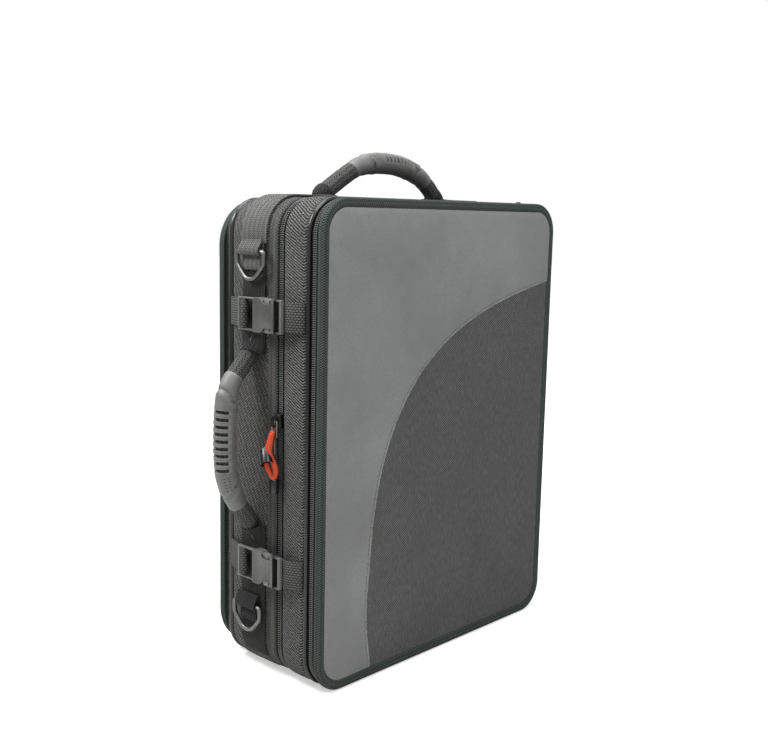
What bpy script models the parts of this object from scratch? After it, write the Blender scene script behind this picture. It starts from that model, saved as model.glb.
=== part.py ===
# Soft case for two clarinets: a base half and a lid half joined by a zip and a cloth hinge,
# a zipped flat pocket on each broad side, two carrying handles, two side release buckles
# and two D rings. It stands on its short side. X runs across, Y from front to back, Z up.
# The origin is under the base half's wall, on the ground. All sizes are in metres.
import math

import bmesh
import bpy
from mathutils import Matrix, Vector

for old in list(bpy.data.objects):
    bpy.data.objects.remove(old, do_unlink=True)

# Case body
case_width = 0.311
case_height = 0.410
side_crown = 0.0025
end_crown = 0.0018
shell_corner_radius = 0.0290
panel_corner_radius = 0.0260
back_corner_radius = 0.0380
wall_thickness = 0.007
board_thickness = 0.003
clearance = 0.0003
overrun = 0.002
corner_steps = 6

# Depths of the bands round the side, from front to back
panel_depth = 0.0086
pocket_teeth_depth = 0.0044
pocket_tape_reveal = 0.0010
front_piping_radius = 0.0025
lid_shell_depth = 0.0255
lid_tape_reveal = 0.0026
main_teeth_depth = 0.0041
base_tape_reveal = 0.0128
base_shell_depth = 0.0483
base_shell_lead = 0.027
back_piping_radius = 0.0031
back_tape_reveal = 0.0050
back_teeth_depth = 0.0030
back_panel_depth = 0.0078
back_side_inset = 0.0020
back_end_inset = 0.0030

# Stations along Y that follow from the bands
base_front = -base_shell_lead
base_back = base_front + base_shell_depth
zip_line = base_front - base_tape_reveal - main_teeth_depth / 2
lid_back = zip_line - main_teeth_depth / 2 - lid_tape_reveal
lid_front = lid_back - lid_shell_depth
front_piping_line = lid_front - clearance - front_piping_radius
front_zip_line = front_piping_line - front_piping_radius - pocket_tape_reveal - pocket_teeth_depth / 2
panel_back = front_zip_line - pocket_teeth_depth / 2 - clearance
panel_front = panel_back - panel_depth
back_piping_line = base_back + clearance + back_piping_radius
back_zip_line = back_piping_line + back_piping_radius + back_tape_reveal + back_teeth_depth / 2
back_panel_front = back_zip_line + back_teeth_depth / 2 + clearance
back_panel_back = back_panel_front + back_panel_depth

# Levels outward from the panels' sides
inner_level = side_crown - wall_thickness
lining_level = inner_level - clearance
panel_bottom = end_crown
panel_top = panel_bottom + case_height
half_width = case_width / 2
shell_bottom = side_crown
shell_top = panel_top + end_crown - side_crown

# Edge outlines at level zero: half width, bottom, top and corner radius
shell_edge = (half_width, shell_bottom, shell_top, shell_corner_radius)
panel_edge = (half_width, panel_bottom, panel_top, panel_corner_radius)
back_edge = (
    half_width - back_side_inset,
    panel_bottom + back_end_inset,
    panel_top - back_end_inset,
    back_corner_radius,
)

# Wall profile
shell_edge_drop = 0.0014
shell_edge_ease = 0.0020
shell_shoulder = 0.0080
shell_shoulder_drop = 0.0024

# Zips
tape_thickness = 0.0012
tooth_rise = 0.0008
main_tape_drop = 0.0022
flange_width = 0.0040

# Bound edges of the two pocket panels
binding_thickness = 0.0012
binding_chamfer = 0.0016
front_binding_width = 0.0080
back_binding_width = 0.0070
skin_thickness = 0.0009
core_margin = 0.0019

# Seam between the two skins of the front panel, as shares of the half width and the height
seam_shares = (
    (1.10, 0.829), (0.892, 0.818), (0.603, 0.795), (0.308, 0.763), (0.027, 0.718), (-0.220, 0.654),
    (-0.414, 0.569), (-0.548, 0.468), (-0.619, 0.358), (-0.648, 0.244), (-0.664, 0.131), (-0.619, 0.021),
    (-0.600, -0.030),
)
seam_steps = 5

# Fitted tray for the instrument's parts
tray_setback = 0.0080
tray_margin = 0.0100
cavity_gap = 0.0100
cavity_corner = 0.0080
joint_cavity_width = 0.0520
joint_cavity_length = 0.2580
joint_cavity_depth = 0.0440
bell_cavity_width = 0.0860
bell_cavity_length = 0.1100
bell_cavity_depth = 0.0470
barrel_cavity_width = 0.0400
barrel_cavity_depth = 0.0400
bell_relief_depth = 0.0200
cavity_corner_steps = 4

# Cloth hinge of the lid
hinge_inset = 0.060

# Webbing up the side and over the top
webbing_thickness = 0.0015
webbing_width = 0.031
webbing_line = -0.0105
webbing_last_angle = 215
webbing_end_setback = 0.012

# Handles
handle_span = 0.149
handle_rise = 0.0270
handle_line = -0.0100
handle_core_radius = 0.0072
handle_grip_radius = 0.0092
handle_grip_length = 0.117
handle_exponent = 1.86
handle_end_radius = 0.0016
handle_dome_turns = (40, 70)
handle_core_steps = 22
handle_grip_steps = 14
side_handle_offset = 0.0022
top_handle_across = -0.0073
anchor_length = 0.0150
anchor_width = 0.0285
anchor_thickness = 0.0016

# Buckles
strap_width = 0.0240
strap_thickness = 0.0014
buckle_standoff = 0.0010
buckle_thickness = 0.0096
buckle_wall = 0.0015
buckle_front_gap = 0.0005
buckle_plate = 0.0032
buckle_body_length = 0.0262
buckle_body_lead = 0.0062
buckle_body_half = 0.0142
buckle_waist_half = 0.0098
buckle_rail_half = 0.0138
buckle_side_wall = 0.0022
buckle_slot = 0.0042
buckle_bar = 0.0024
rail_width = 0.0015
mouth_block_length = 0.0030
mouth_play = 0.0012
tongue_length = 0.0180
tongue_half = 0.0025
male_window_length = 0.0132
male_bar = 0.0026
male_slot = 0.0030
male_end_bar = 0.0025
arm_thickness = 0.0020
arm_play = 0.0012
arm_length = 0.0200
button_length = 0.0088
button_tip = 0.0015
button_proud = 0.0035
upper_buckle_gap = 0.0053
lower_buckle_gap = 0.0054
strap_seam_inset = 0.0014
strap_tail = 0.0020
front_fold_length = 0.0085

# D rings
ring_wire_radius = 0.0020
ring_half_width = 0.0170
ring_drop = 0.0225
upper_ring_line = -0.0110
lower_ring_line = -0.0074
upper_ring_gap = 0.0129
lower_ring_gap = 0.0081
tab_width = 0.0260
tab_length = 0.0170

# Zip sliders and their pulls
slider_length = 0.0120
slider_width = 0.0086
slider_thickness = 0.0042
slider_chamfer = 0.0008
bridge_height = 0.0052
bridge_wall = 0.0014
bridge_length = 0.0085
bridge_width = 0.0028
pull_width = 0.0074
pull_thickness = 0.0015
pull_bar = 0.0018
pull_eye_length = 0.0047
pull_hole_length = 0.0042
pull_web = 0.0016
pull_tail_width = 0.0022
pull_tail_length = 0.0150
slider_rest_height = 0.2290
pocket_slider_share = 0.6
pocket_slider_from_corner = 0.016
cord_radius = 0.0015
cord_drop = 0.0385
cord_spread = 0.0048
cord_front_stand = 0.0050
sleeve_length = 0.0130
sleeve_width = 0.0085
sleeve_depth = 0.0058
sleeve_chamfer = 0.0012
bead_radius = 0.0042
bead_length = 0.0140
bead_start = 0.0160
bead_sides = 16

# Heights up the left side, out from its middle: handle, buckles, then rings
side_handle_height = panel_bottom + case_height / 2 + side_handle_offset
anchor_reach = handle_span / 2 - handle_end_radius + anchor_length
upper_buckle_height = side_handle_height + anchor_reach + upper_buckle_gap + buckle_body_half
lower_buckle_height = side_handle_height - anchor_reach - lower_buckle_gap - buckle_body_half
ring_reach = ring_drop + ring_wire_radius
upper_ring_height = upper_buckle_height + buckle_body_half + upper_ring_gap + ring_reach
lower_ring_height = lower_buckle_height - buckle_body_half - lower_ring_gap - tab_length

parts = bpy.data.collections.new("clarinet_case")
cutters = bpy.data.collections.new("cutters")
bpy.context.scene.collection.children.link(parts)
bpy.context.scene.collection.children.link(cutters)


def material(name, colour, roughness, metallic=0.0):
    made = bpy.data.materials.new(name)
    made.use_nodes = True
    surface = made.node_tree.nodes["Principled BSDF"]
    surface.inputs["Base Color"].default_value = (*colour, 1.0)
    surface.inputs["Roughness"].default_value = roughness
    surface.inputs["Metallic"].default_value = metallic
    return made


twill = material("twill", (0.080, 0.079, 0.076), 0.85)
leatherette = material("leatherette", (0.205, 0.214, 0.208), 0.50)
nylon = material("nylon", (0.085, 0.087, 0.086), 0.80)
binding_cloth = material("binding_cloth", (0.045, 0.056, 0.050), 0.75)
piping_vinyl = material("piping_vinyl", (0.012, 0.013, 0.012), 0.30)
zip_cloth = material("zip_cloth", (0.020, 0.026, 0.024), 0.80)
webbing_cloth = material("webbing_cloth", (0.100, 0.101, 0.097), 0.80)
rubber = material("rubber", (0.110, 0.111, 0.107), 0.55)
buckle_plastic = material("buckle_plastic", (0.120, 0.121, 0.117), 0.42)
ring_metal = material("ring_metal", (0.180, 0.180, 0.175), 0.38, 0.9)
slider_metal = material("slider_metal", (0.035, 0.036, 0.036), 0.35, 0.8)
pull_metal = material("pull_metal", (0.600, 0.570, 0.500), 0.30, 1.0)
orange_cord = material("orange_cord", (0.850, 0.130, 0.045), 0.70)
grey_plastic = material("grey_plastic", (0.090, 0.092, 0.092), 0.35)
board_cloth = material("board_cloth", (0.030, 0.030, 0.032), 0.90)
plush = material("plush", (0.022, 0.022, 0.026), 0.95)


def place(mesh, name, surface, home=parts):
    made = bpy.data.objects.new(name, mesh)
    home.objects.link(made)
    if surface:
        mesh.materials.clear()
        mesh.materials.append(surface)
    return made


def outline(edge, level, start=0, end=360):
    """Rounded outline at a level out from an edge, for the corners' turn from start to end."""
    half = edge[0] + level
    low = edge[1] - level
    high = edge[2] + level
    radius = edge[3] + level
    corners = (
        (half - radius, high - radius, 0),
        (radius - half, high - radius, 90),
        (radius - half, low + radius, 180),
        (half - radius, low + radius, 270),
    )
    points = []
    for x, z, first in corners:
        for step in range(corner_steps + 1):
            turn = first + 90 * step / corner_steps
            if start <= turn <= end:
                angle = math.radians(turn)
                points.append((x + radius * math.cos(angle), z + radius * math.sin(angle)))
    return points


def loft(name, edge, profile, surface, closed, home=parts):
    """Carries a profile of (Y, level) points round an edge's outline."""
    shape = bmesh.new()
    order = shape.verts.layers.int.new("order")
    start_y, start_level = profile[0]
    ring = []
    for index, (x, z) in enumerate(outline(edge, start_level)):
        corner = shape.verts.new((x, start_y, z))
        corner[order] = index
        ring.append(corner)
    edges = [shape.edges.new((ring[i - 1], ring[i])) for i in range(len(ring))]
    if not closed:
        bmesh.ops.edgeloop_fill(shape, edges=edges)
    for y, level in profile[1:] + (profile[:1] if closed else []):
        spots = outline(edge, level)
        swept = bmesh.ops.extrude_edge_only(shape, edges=edges)["geom"]
        moved = {item for item in swept if isinstance(item, bmesh.types.BMVert)}
        for corner in moved:
            x, z = spots[corner[order]]
            corner.co = (x, y, z)
        edges = [line for line in shape.edges if moved.issuperset(line.verts)]
    if closed:
        bmesh.ops.remove_doubles(shape, verts=shape.verts, dist=clearance / 10)
    else:
        bmesh.ops.edgeloop_fill(shape, edges=edges)
    bmesh.ops.recalc_face_normals(shape, faces=shape.faces)
    mesh = bpy.data.meshes.new(name)
    shape.to_mesh(mesh)
    shape.free()
    return place(mesh, name, surface, home)


def as_mesh(curve_object, surface, home):
    """Turns a curve object into a mesh object with welded caps."""
    bpy.context.view_layer.update()
    seen = curve_object.evaluated_get(bpy.context.evaluated_depsgraph_get())
    mesh = bpy.data.meshes.new_from_object(seen)
    shape = bmesh.new()
    shape.from_mesh(mesh)
    bmesh.ops.remove_doubles(shape, verts=shape.verts, dist=clearance / 10)
    bmesh.ops.recalc_face_normals(shape, faces=shape.faces)
    shape.to_mesh(mesh)
    shape.free()
    name = curve_object.name
    matrix = curve_object.matrix_world.copy()
    bpy.data.objects.remove(curve_object, do_unlink=True)
    made = place(mesh, name, surface, home)
    made.matrix_world = matrix
    return made


side_view = Matrix(((0, 0, -1, 0), (-1, 0, 0, 0), (0, 1, 0, 0), (0, 0, 0, 1)))
front_view = Matrix(((1, 0, 0, 0), (0, 0, -1, 0), (0, 1, 0, 0), (0, 0, 0, 1)))


def slab(name, outlines, low, high, frame, surface, home=parts):
    """A flat outline with its holes, filled and extruded from low to high along its frame's Z."""
    curve = bpy.data.curves.new(name, "CURVE")
    curve.dimensions = "2D"
    curve.fill_mode = "BOTH"
    curve.extrude = (high - low) / 2
    for points in outlines:
        line = curve.splines.new("POLY")
        line.points.add(len(points) - 1)
        for point, (across, up) in zip(line.points, points):
            point.co = (across, up, 0.0, 1.0)
        line.use_cyclic_u = True
    made = bpy.data.objects.new(name, curve)
    home.objects.link(made)
    made.matrix_world = frame @ Matrix.Translation((0.0, 0.0, (low + high) / 2))
    return as_mesh(made, surface, home)


def side_slab(name, outlines, low, high, surface, home=parts):
    """A slab seen from the left: outlines in (Y, Z), low and high as levels out from the panels."""
    turned = [[(-y, z) for y, z in points] for points in outlines]
    return slab(name, turned, half_width + low, half_width + high, side_view, surface, home)


def front_slab(name, outlines, front, back, surface, home=parts):
    """A slab seen from the front: outlines in (X, Z), between two Y stations."""
    return slab(name, outlines, -back, -front, front_view, surface, home)


def box(name, low, high, surface, home=parts):
    """A box between two opposite corners."""
    low, high = Vector(low), Vector(high)
    shape = bmesh.new()
    bmesh.ops.create_cube(shape, size=1.0)
    bmesh.ops.scale(shape, vec=high - low, verts=shape.verts)
    bmesh.ops.translate(shape, vec=(low + high) / 2, verts=shape.verts)
    mesh = bpy.data.meshes.new(name)
    shape.to_mesh(mesh)
    shape.free()
    return place(mesh, name, surface, home)


def boolean(target, cutter, operation="DIFFERENCE"):
    """Applies a cutter that stays in the cutters collection, hidden from the render."""
    cutter.hide_render = True
    cutter.display_type = "WIRE"
    step = target.modifiers.new(cutter.name, "BOOLEAN")
    step.operation = operation
    step.object = cutter
    step.solver = "EXACT"


def soften(target, width, segments=1, angle=40):
    """Rounds an object's sharp edges."""
    step = target.modifiers.new("soften", "BEVEL")
    step.width = width
    step.segments = segments
    step.limit_method = "ANGLE"
    step.angle_limit = math.radians(angle)


def ribbon(name, path, sweep, thickness, surface):
    """A strip of webbing: an open path swept by a vector and thickened evenly."""
    shape = bmesh.new()
    corners = [shape.verts.new(point) for point in path]
    edges = [shape.edges.new(pair) for pair in zip(corners, corners[1:])]
    swept = bmesh.ops.extrude_edge_only(shape, edges=edges)["geom"]
    moved = [item for item in swept if isinstance(item, bmesh.types.BMVert)]
    bmesh.ops.translate(shape, vec=sweep, verts=moved)
    bmesh.ops.recalc_face_normals(shape, faces=shape.faces)
    mesh = bpy.data.meshes.new(name)
    shape.to_mesh(mesh)
    shape.free()
    made = place(mesh, name, surface)
    step = made.modifiers.new("thickness", "SOLIDIFY")
    step.thickness = thickness
    step.offset = 0.0
    step.use_even_offset = True
    return made


def tube(name, points, radius, surface, cyclic=False, shares=None, resolution=2, caps=True):
    """A round tube along points, with an optional share of the radius at each point."""
    curve = bpy.data.curves.new(name, "CURVE")
    curve.dimensions = "3D"
    curve.bevel_depth = radius
    curve.bevel_resolution = resolution
    curve.use_fill_caps = caps
    line = curve.splines.new("POLY")
    line.points.add(len(points) - 1)
    for index, (point, place_at) in enumerate(zip(line.points, points)):
        point.co = (*place_at, 1.0)
        point.radius = shares[index] if shares else 1.0
    line.use_cyclic_u = cyclic
    curve.materials.append(surface)
    made = bpy.data.objects.new(name, curve)
    parts.objects.link(made)
    return made


def axis(name, location, carried, parent=None):
    """An empty on a joint's axis that carries a moving body's pieces."""
    empty = bpy.data.objects.new(name, None)
    empty.empty_display_size = strap_width
    empty.location = location
    parts.objects.link(empty)
    bpy.context.view_layer.update()
    if parent:
        empty.parent = parent
        empty.matrix_parent_inverse = parent.matrix_world.inverted()
        bpy.context.view_layer.update()
    for piece in carried:
        piece.parent = empty
        piece.matrix_parent_inverse = empty.matrix_world.inverted()
    return empty


def arc(centre, radius, first, last, steps):
    """Points on an arc between two angles in degrees."""
    points = []
    for step in range(steps + 1):
        angle = math.radians(first + (last - first) * step / steps)
        points.append((centre[0] + radius * math.cos(angle), centre[1] + radius * math.sin(angle)))
    return points


def rounded_rectangle(left, low, width, height, radius, steps):
    """Corner points of a rectangle with rounded corners."""
    right = left + width
    high = low + height
    return (
        arc((right - radius, high - radius), radius, 0, 90, steps)
        + arc((left + radius, high - radius), radius, 90, 180, steps)
        + arc((left + radius, low + radius), radius, 180, 270, steps)
        + arc((right - radius, low + radius), radius, 270, 360, steps)
    )


def between(start, end, shares):
    """A route from start to end whose points are shares of the two distances."""
    return [
        (start[0] + (end[0] - start[0]) * along, start[1] + (end[1] - start[1]) * up)
        for along, up in shares
    ]


# Walls of the two halves, boards, piping


def piping(name, line, radius, crest):
    profile = [(line + y, crest - radius + up) for y, up in arc((0.0, 0.0), radius, 0, 315, 7)]
    return loft(name, shell_edge, profile, piping_vinyl, closed=True)


def base_walls():
    edge = side_crown - shell_edge_drop
    profile = [
        (base_front, edge),
        (base_front + shell_edge_ease, side_crown),
        (base_back - shell_shoulder, side_crown),
        (base_back - shell_shoulder / 3, side_crown - shell_shoulder_drop / 2),
        (base_back, side_crown - shell_shoulder_drop),
        (base_back, inner_level),
        (base_front, inner_level),
    ]
    board = [(base_back - board_thickness, lining_level), (base_back, lining_level)]
    return [
        loft("base_shell", shell_edge, profile, twill, closed=True),
        loft("base_board", shell_edge, board, board_cloth, closed=False),
        piping("base_piping", back_piping_line, back_piping_radius, back_piping_crest),
    ]


def lid_walls():
    edge = side_crown - shell_edge_drop
    profile = [
        (lid_front, side_crown - shell_shoulder_drop),
        (lid_front + shell_shoulder / 3, side_crown - shell_shoulder_drop / 4),
        (lid_front + shell_shoulder, side_crown),
        (lid_back - shell_edge_ease * 2, side_crown),
        (lid_back, edge),
        (lid_back, inner_level),
        (lid_front, inner_level),
    ]
    board = [(lid_front, lining_level), (lid_front + board_thickness, lining_level)]
    return [
        loft("lid_shell", shell_edge, profile, twill, closed=True),
        loft("lid_board", shell_edge, board, board_cloth, closed=False),
        piping("lid_piping", front_piping_line, front_piping_radius, side_crown),
    ]


# Zip tapes, each with its own half of the teeth


def taped_half(name, split, far, level, teeth_depth):
    """One zip half whose tape runs from the teeth to a wall at far."""
    way = 1 if far > split else -1
    meeting = split + way * clearance / 2
    teeth_end = split + way * teeth_depth / 2
    end = far - way * clearance
    profile = [
        (meeting, level + tooth_rise),
        (teeth_end, level + tooth_rise),
        (teeth_end, level),
        (end, level),
        (end, level - tape_thickness),
        (teeth_end, level - tape_thickness),
        (teeth_end, level - tape_thickness - tooth_rise),
        (meeting, level - tape_thickness - tooth_rise),
    ]
    return loft(name, shell_edge, profile, zip_cloth, closed=True)


def panel_half(name, split, panel, level):
    """One zip half sewn flat to the back of a pocket panel."""
    way = 1 if panel > split else -1
    meeting = split + way * clearance / 2
    end = panel - way * clearance
    inner = level - tape_thickness - tooth_rise
    profile = [
        (meeting, level + tooth_rise),
        (end, level + tooth_rise),
        (end, inner - flange_width),
        (end - way * tape_thickness, inner - flange_width),
        (end - way * tape_thickness, inner),
        (meeting, inner),
    ]
    return loft(name, shell_edge, profile, zip_cloth, closed=True)


main_tape_level = side_crown - main_tape_drop
front_tape_level = side_crown - 2 * front_piping_radius - 2 * clearance
back_piping_crest = side_crown - shell_shoulder_drop / 2
back_tape_level = back_piping_crest - 2 * back_piping_radius - 2 * clearance

# Pocket panels: a stiff core in a bound edge, with its outer skin


def bound_edge(name, edge, outer, inner, width):
    """A cloth binding folded round a panel's edge; outer and inner are its two faces along Y."""
    way = 1 if inner > outer else -1
    thin = way * binding_thickness
    bevel = way * binding_chamfer
    profile = [
        (outer, -width),
        (outer, -binding_chamfer),
        (outer + bevel, 0.0),
        (inner - bevel, 0.0),
        (inner, -binding_chamfer),
        (inner, -width),
        (inner - thin, -width),
        (inner - thin, -binding_thickness),
        (outer + thin, -binding_thickness),
        (outer + thin, -width),
    ]
    return loft(name, edge, profile, binding_cloth, closed=True)


def smooth(points, steps):
    """A Catmull-Rom curve through points, without the first and the last."""
    curve = []
    for before, start, end, after in zip(points, points[1:], points[2:], points[3:]):
        for step in range(steps):
            t = step / steps
            curve.append(tuple(
                b + t * (c - a + t * (2 * a - 5 * b + 4 * c - d + t * (3 * b - a - 3 * c + d))) / 2
                for a, b, c, d in zip(before, start, end, after)
            ))
    return curve


def seam_outline(shift):
    """The lower right side of the seam in (X, Z), shifted up and to the left."""
    points = [(half_width * across, panel_bottom + case_height * up) for across, up in seam_shares]
    curve = smooth([points[0]] + points + [points[-1]], seam_steps) + [points[-1]]
    curve.append((half_width + overrun, curve[-1][1]))
    return [(x - shift, z + shift) for x, z in curve]


def front_panel():
    core_front = panel_front + binding_thickness + clearance
    core_back = panel_back - binding_thickness - clearance
    skin_level = -front_binding_width - clearance
    skin_back = core_front - clearance
    core = [(core_front, -core_margin), (core_back, -core_margin)]
    pieces = [
        bound_edge("front_binding", panel_edge, panel_front, panel_back, front_binding_width),
        loft("front_core", panel_edge, core, board_cloth, closed=False),
        panel_half("front_panel_zip", front_zip_line, panel_back, front_tape_level),
    ]
    for name, surface, operation, shift in (
        ("front_leather_skin", leatherette, "DIFFERENCE", clearance),
        ("front_nylon_skin", nylon, "INTERSECT", 0.0),
    ):
        layer = [(skin_back - skin_thickness, skin_level), (skin_back, skin_level)]
        skin = loft(name, panel_edge, layer, surface, closed=False)
        seam = front_slab(
            name + "_seam",
            [seam_outline(shift)],
            skin_back - skin_thickness - overrun,
            skin_back + overrun,
            None,
            cutters,
        )
        boolean(skin, seam, operation)
        pieces.append(skin)
    return pieces


def back_panel():
    core_front = back_panel_front + binding_thickness + clearance
    core_back = back_panel_back - binding_thickness - clearance
    skin_level = -back_binding_width - clearance
    skin_front = core_back + clearance
    core = [(core_front, -core_margin), (core_back, -core_margin)]
    skin = [(skin_front, skin_level), (skin_front + skin_thickness, skin_level)]
    return [
        bound_edge("back_binding", back_edge, back_panel_back, back_panel_front, back_binding_width),
        loft("back_core", back_edge, core, board_cloth, closed=False),
        loft("back_skin", back_edge, skin, nylon, closed=False),
        panel_half("back_panel_zip", back_zip_line, back_panel_front, back_tape_level),
    ]


# Fitted tray and lid pad

tray_front = zip_line + tray_setback
tray_back = base_back - board_thickness - clearance
pad_front = lid_front + board_thickness + clearance
pad_back = lid_back
tray_low = shell_bottom - lining_level + tray_margin
joints_wide = 4 * joint_cavity_width + 3 * cavity_gap
upper_row = tray_low + joint_cavity_length + cavity_gap
row_wide = 2 * bell_cavity_width + 2 * barrel_cavity_width + 3 * cavity_gap


def cavity_rooms():
    """Name, left edge, low edge, width, height and depth of each cavity in the tray."""
    rooms = []
    for index in range(4):
        left = -joints_wide / 2 + index * (joint_cavity_width + cavity_gap)
        rooms.append((f"joint_{index + 1}", left, tray_low, joint_cavity_width, joint_cavity_length,
                      joint_cavity_depth))
    left = -row_wide / 2
    for name, width, depth in (
        ("bell_1", bell_cavity_width, bell_cavity_depth),
        ("barrel_1", barrel_cavity_width, barrel_cavity_depth),
        ("barrel_2", barrel_cavity_width, barrel_cavity_depth),
        ("bell_2", bell_cavity_width, bell_cavity_depth),
    ):
        rooms.append((name, left, upper_row, width, bell_cavity_length, depth))
        left += width + cavity_gap
    return rooms


def tray_and_pad():
    block = [(tray_front, lining_level), (tray_back, lining_level)]
    tray = loft("clarinet_tray", shell_edge, block, plush, closed=False)
    block = [(pad_front, lining_level), (pad_back, lining_level)]
    pad = loft("lid_pad", shell_edge, block, plush, closed=False)
    for name, left, low, width, height, depth in cavity_rooms():
        shape = rounded_rectangle(left, low, width, height, cavity_corner, cavity_corner_steps)
        room = front_slab(name + "_cavity", [shape], tray_front - overrun, tray_front + depth, None, cutters)
        boolean(tray, room)
        if name.startswith("bell"):
            relief = front_slab(
                name + "_relief", [shape], pad_back - bell_relief_depth, pad_back + overrun, None, cutters
            )
            boolean(pad, relief)
    return tray, pad


# Cloth hinge on the right side, one strip on each half

hinge_x = half_width + side_crown + clearance / 2


def hinge_strips():
    inner = half_width + main_tape_level + tooth_rise + clearance
    outer = half_width + side_crown
    low = shell_bottom + hinge_inset
    high = shell_top - hinge_inset
    base_strip = box(
        "base_hinge_strip",
        (inner, zip_line + clearance / 2, low),
        (outer, base_front - clearance, high),
        twill,
    )
    lid_strip = box(
        "lid_hinge_strip",
        (inner, lid_back + clearance, low),
        (outer, zip_line - clearance / 2, high),
        twill,
    )
    return base_strip, lid_strip


# Webbing up the left side and over the top

webbing_under = side_crown + clearance
webbing_over = webbing_under + webbing_thickness


def webbing_strip(name, points):
    path = [(x, webbing_line - webbing_width / 2, z) for x, z in points]
    return ribbon(name, path, (0.0, webbing_width, 0.0), webbing_thickness, webbing_cloth)


def carrying_webbing():
    """One strip round the upper left corner, one down to the lower one and one on the top."""
    level = webbing_under + webbing_thickness / 2
    side = -half_width - level
    top = shell_top + level
    top_end = half_width - shell_corner_radius - webbing_end_setback
    foot = handle_span / 2
    webbing_strip(
        "corner_webbing",
        [(top_handle_across - foot, top)] + outline(shell_edge, level, 90, 180)[1:-1]
        + [(side, side_handle_height + foot)],
    )
    webbing_strip(
        "lower_webbing",
        [(side, side_handle_height - foot)] + outline(shell_edge, level, 180, webbing_last_angle)[1:],
    )
    webbing_strip("top_webbing", [(top_handle_across + foot, top), (top_end, top)])


# Handles, written once in their own frame: along, across and out from the webbing

anchor_top = webbing_over + clearance + anchor_thickness
handle_foot = anchor_top + clearance + handle_end_radius


def handle_route(low, high, steps):
    """Points of the handle's arch between two shares of its half span."""
    half = handle_span / 2
    first = math.asin(math.copysign(abs(low) ** (handle_exponent / 2), low))
    last = math.asin(math.copysign(abs(high) ** (handle_exponent / 2), high))
    points = []
    for step in range(steps + 1):
        turn = first + (last - first) * step / steps
        along = half * math.copysign(abs(math.sin(turn)) ** (2 / handle_exponent), turn)
        out = handle_foot + handle_rise * abs(math.cos(turn)) ** (2 / handle_exponent)
        points.append(Vector((along, 0.0, out)))
    return points


def handle(prefix, to_world):
    """The woven core and the rubber grip of one handle; the core's feet end in domes on its axis."""
    route = handle_route(-1.0, 1.0, handle_core_steps)
    grip_share = handle_grip_length / handle_span
    radii = []
    for point in route:
        beyond = (abs(point.x) / (handle_span / 2) - grip_share) / (1 - grip_share)
        taper = 1 - max(0.0, beyond) ** 2
        radii.append(handle_end_radius + (handle_core_radius - handle_end_radius) * taper)
    low_foot, high_foot = route[0], route[-1]
    for turn in handle_dome_turns:
        drop = Vector((0.0, 0.0, handle_end_radius * math.sin(math.radians(turn))))
        rim = handle_end_radius * math.cos(math.radians(turn))
        route = [low_foot - drop] + route + [high_foot - drop]
        radii = [rim] + radii + [rim]
    shares = [radius / handle_core_radius for radius in radii]
    core = tube(prefix + "_core", [to_world(p) for p in route], handle_core_radius, webbing_cloth,
                shares=shares)
    grip_route = handle_route(-grip_share, grip_share, handle_grip_steps)
    grip = tube(prefix + "_grip", [to_world(p) for p in grip_route], handle_grip_radius, rubber, caps=False)
    step = grip.modifiers.new("bore", "SOLIDIFY")
    step.thickness = handle_grip_radius - handle_core_radius - clearance * 2
    step.offset = -1.0
    return core, grip


def on_side(point):
    return Vector((-half_width - point.z, handle_line, side_handle_height + point.x))


def on_top(point):
    return Vector((top_handle_across + point.x, handle_line, shell_top + point.z))


def anchors():
    """Sewn webbing patches at the feet of both handles."""
    low_level = webbing_over + clearance
    made = []
    for end, way in (("lower", -1), ("upper", 1)):
        foot = side_handle_height + way * (handle_span / 2 - handle_end_radius)
        tip = foot + way * anchor_length
        made.append(box(
            f"side_anchor_{end}",
            (-half_width - anchor_top, handle_line - anchor_width / 2, min(foot, tip)),
            (-half_width - low_level, handle_line + anchor_width / 2, max(foot, tip)),
            webbing_cloth,
        ))
    for end, way in (("left", -1), ("right", 1)):
        foot = top_handle_across + way * (handle_span / 2 - handle_end_radius)
        tip = foot + way * anchor_length
        made.append(box(
            f"top_anchor_{end}",
            (min(foot, tip), handle_line - anchor_width / 2, shell_top + low_level),
            (max(foot, tip), handle_line + anchor_width / 2, shell_top + anchor_top),
            webbing_cloth,
        ))
    return made


# Side release buckles: levels out from the panels, then stations along Y

housing_low = webbing_over + buckle_standoff
housing_high = housing_low + buckle_thickness
plate_high = housing_high - buckle_wall - buckle_front_gap
plate_low = plate_high - buckle_plate
plate_mid = (plate_low + plate_high) / 2
body_front = zip_line - buckle_body_lead
body_back = body_front + buckle_body_length
slot_front = body_front - buckle_slot
bar_front = slot_front - buckle_bar
cavity_half = buckle_body_half - buckle_side_wall
mouth = body_back + clearance
male_bar_front = mouth + male_window_length
male_bar_back = male_bar_front + male_bar
male_end_front = male_bar_back + male_slot
male_end_back = male_end_front + male_end_bar
block_front = body_back - mouth_block_length
arm_root = block_front - clearance
arm_tip = arm_root - arm_length
arm_inner = cavity_half - arm_play - arm_thickness
arm_outer = cavity_half - arm_play
strap_low = plate_low - clearance - strap_thickness / 2
strap_high = plate_high + clearance + strap_thickness / 2
strap_turn = (strap_high - strap_low) / 2

notch_shares = (
    (0.04, 0.80), (0.09, 0.36), (0.14, 0.08), (0.22, 0.0), (0.40, 0.0), (0.50, 0.10), (0.58, 0.62),
    (0.66, 0.95), (0.72, 1.0), (1.00, 1.0),
)
rear_rise_shares = ((0.0, 0.0), (0.22, 0.16), (0.50, 0.52), (0.74, 0.86), (0.90, 1.0))
front_rise_shares = ((0.0, 0.0), (0.24, 0.10), (0.44, 0.18), (0.62, 0.48), (0.80, 0.86), (0.94, 1.0))
fold_fall_shares = ((0.30, 0.0), (0.52, 0.22), (0.76, 0.72), (1.0, 1.0))


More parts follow.
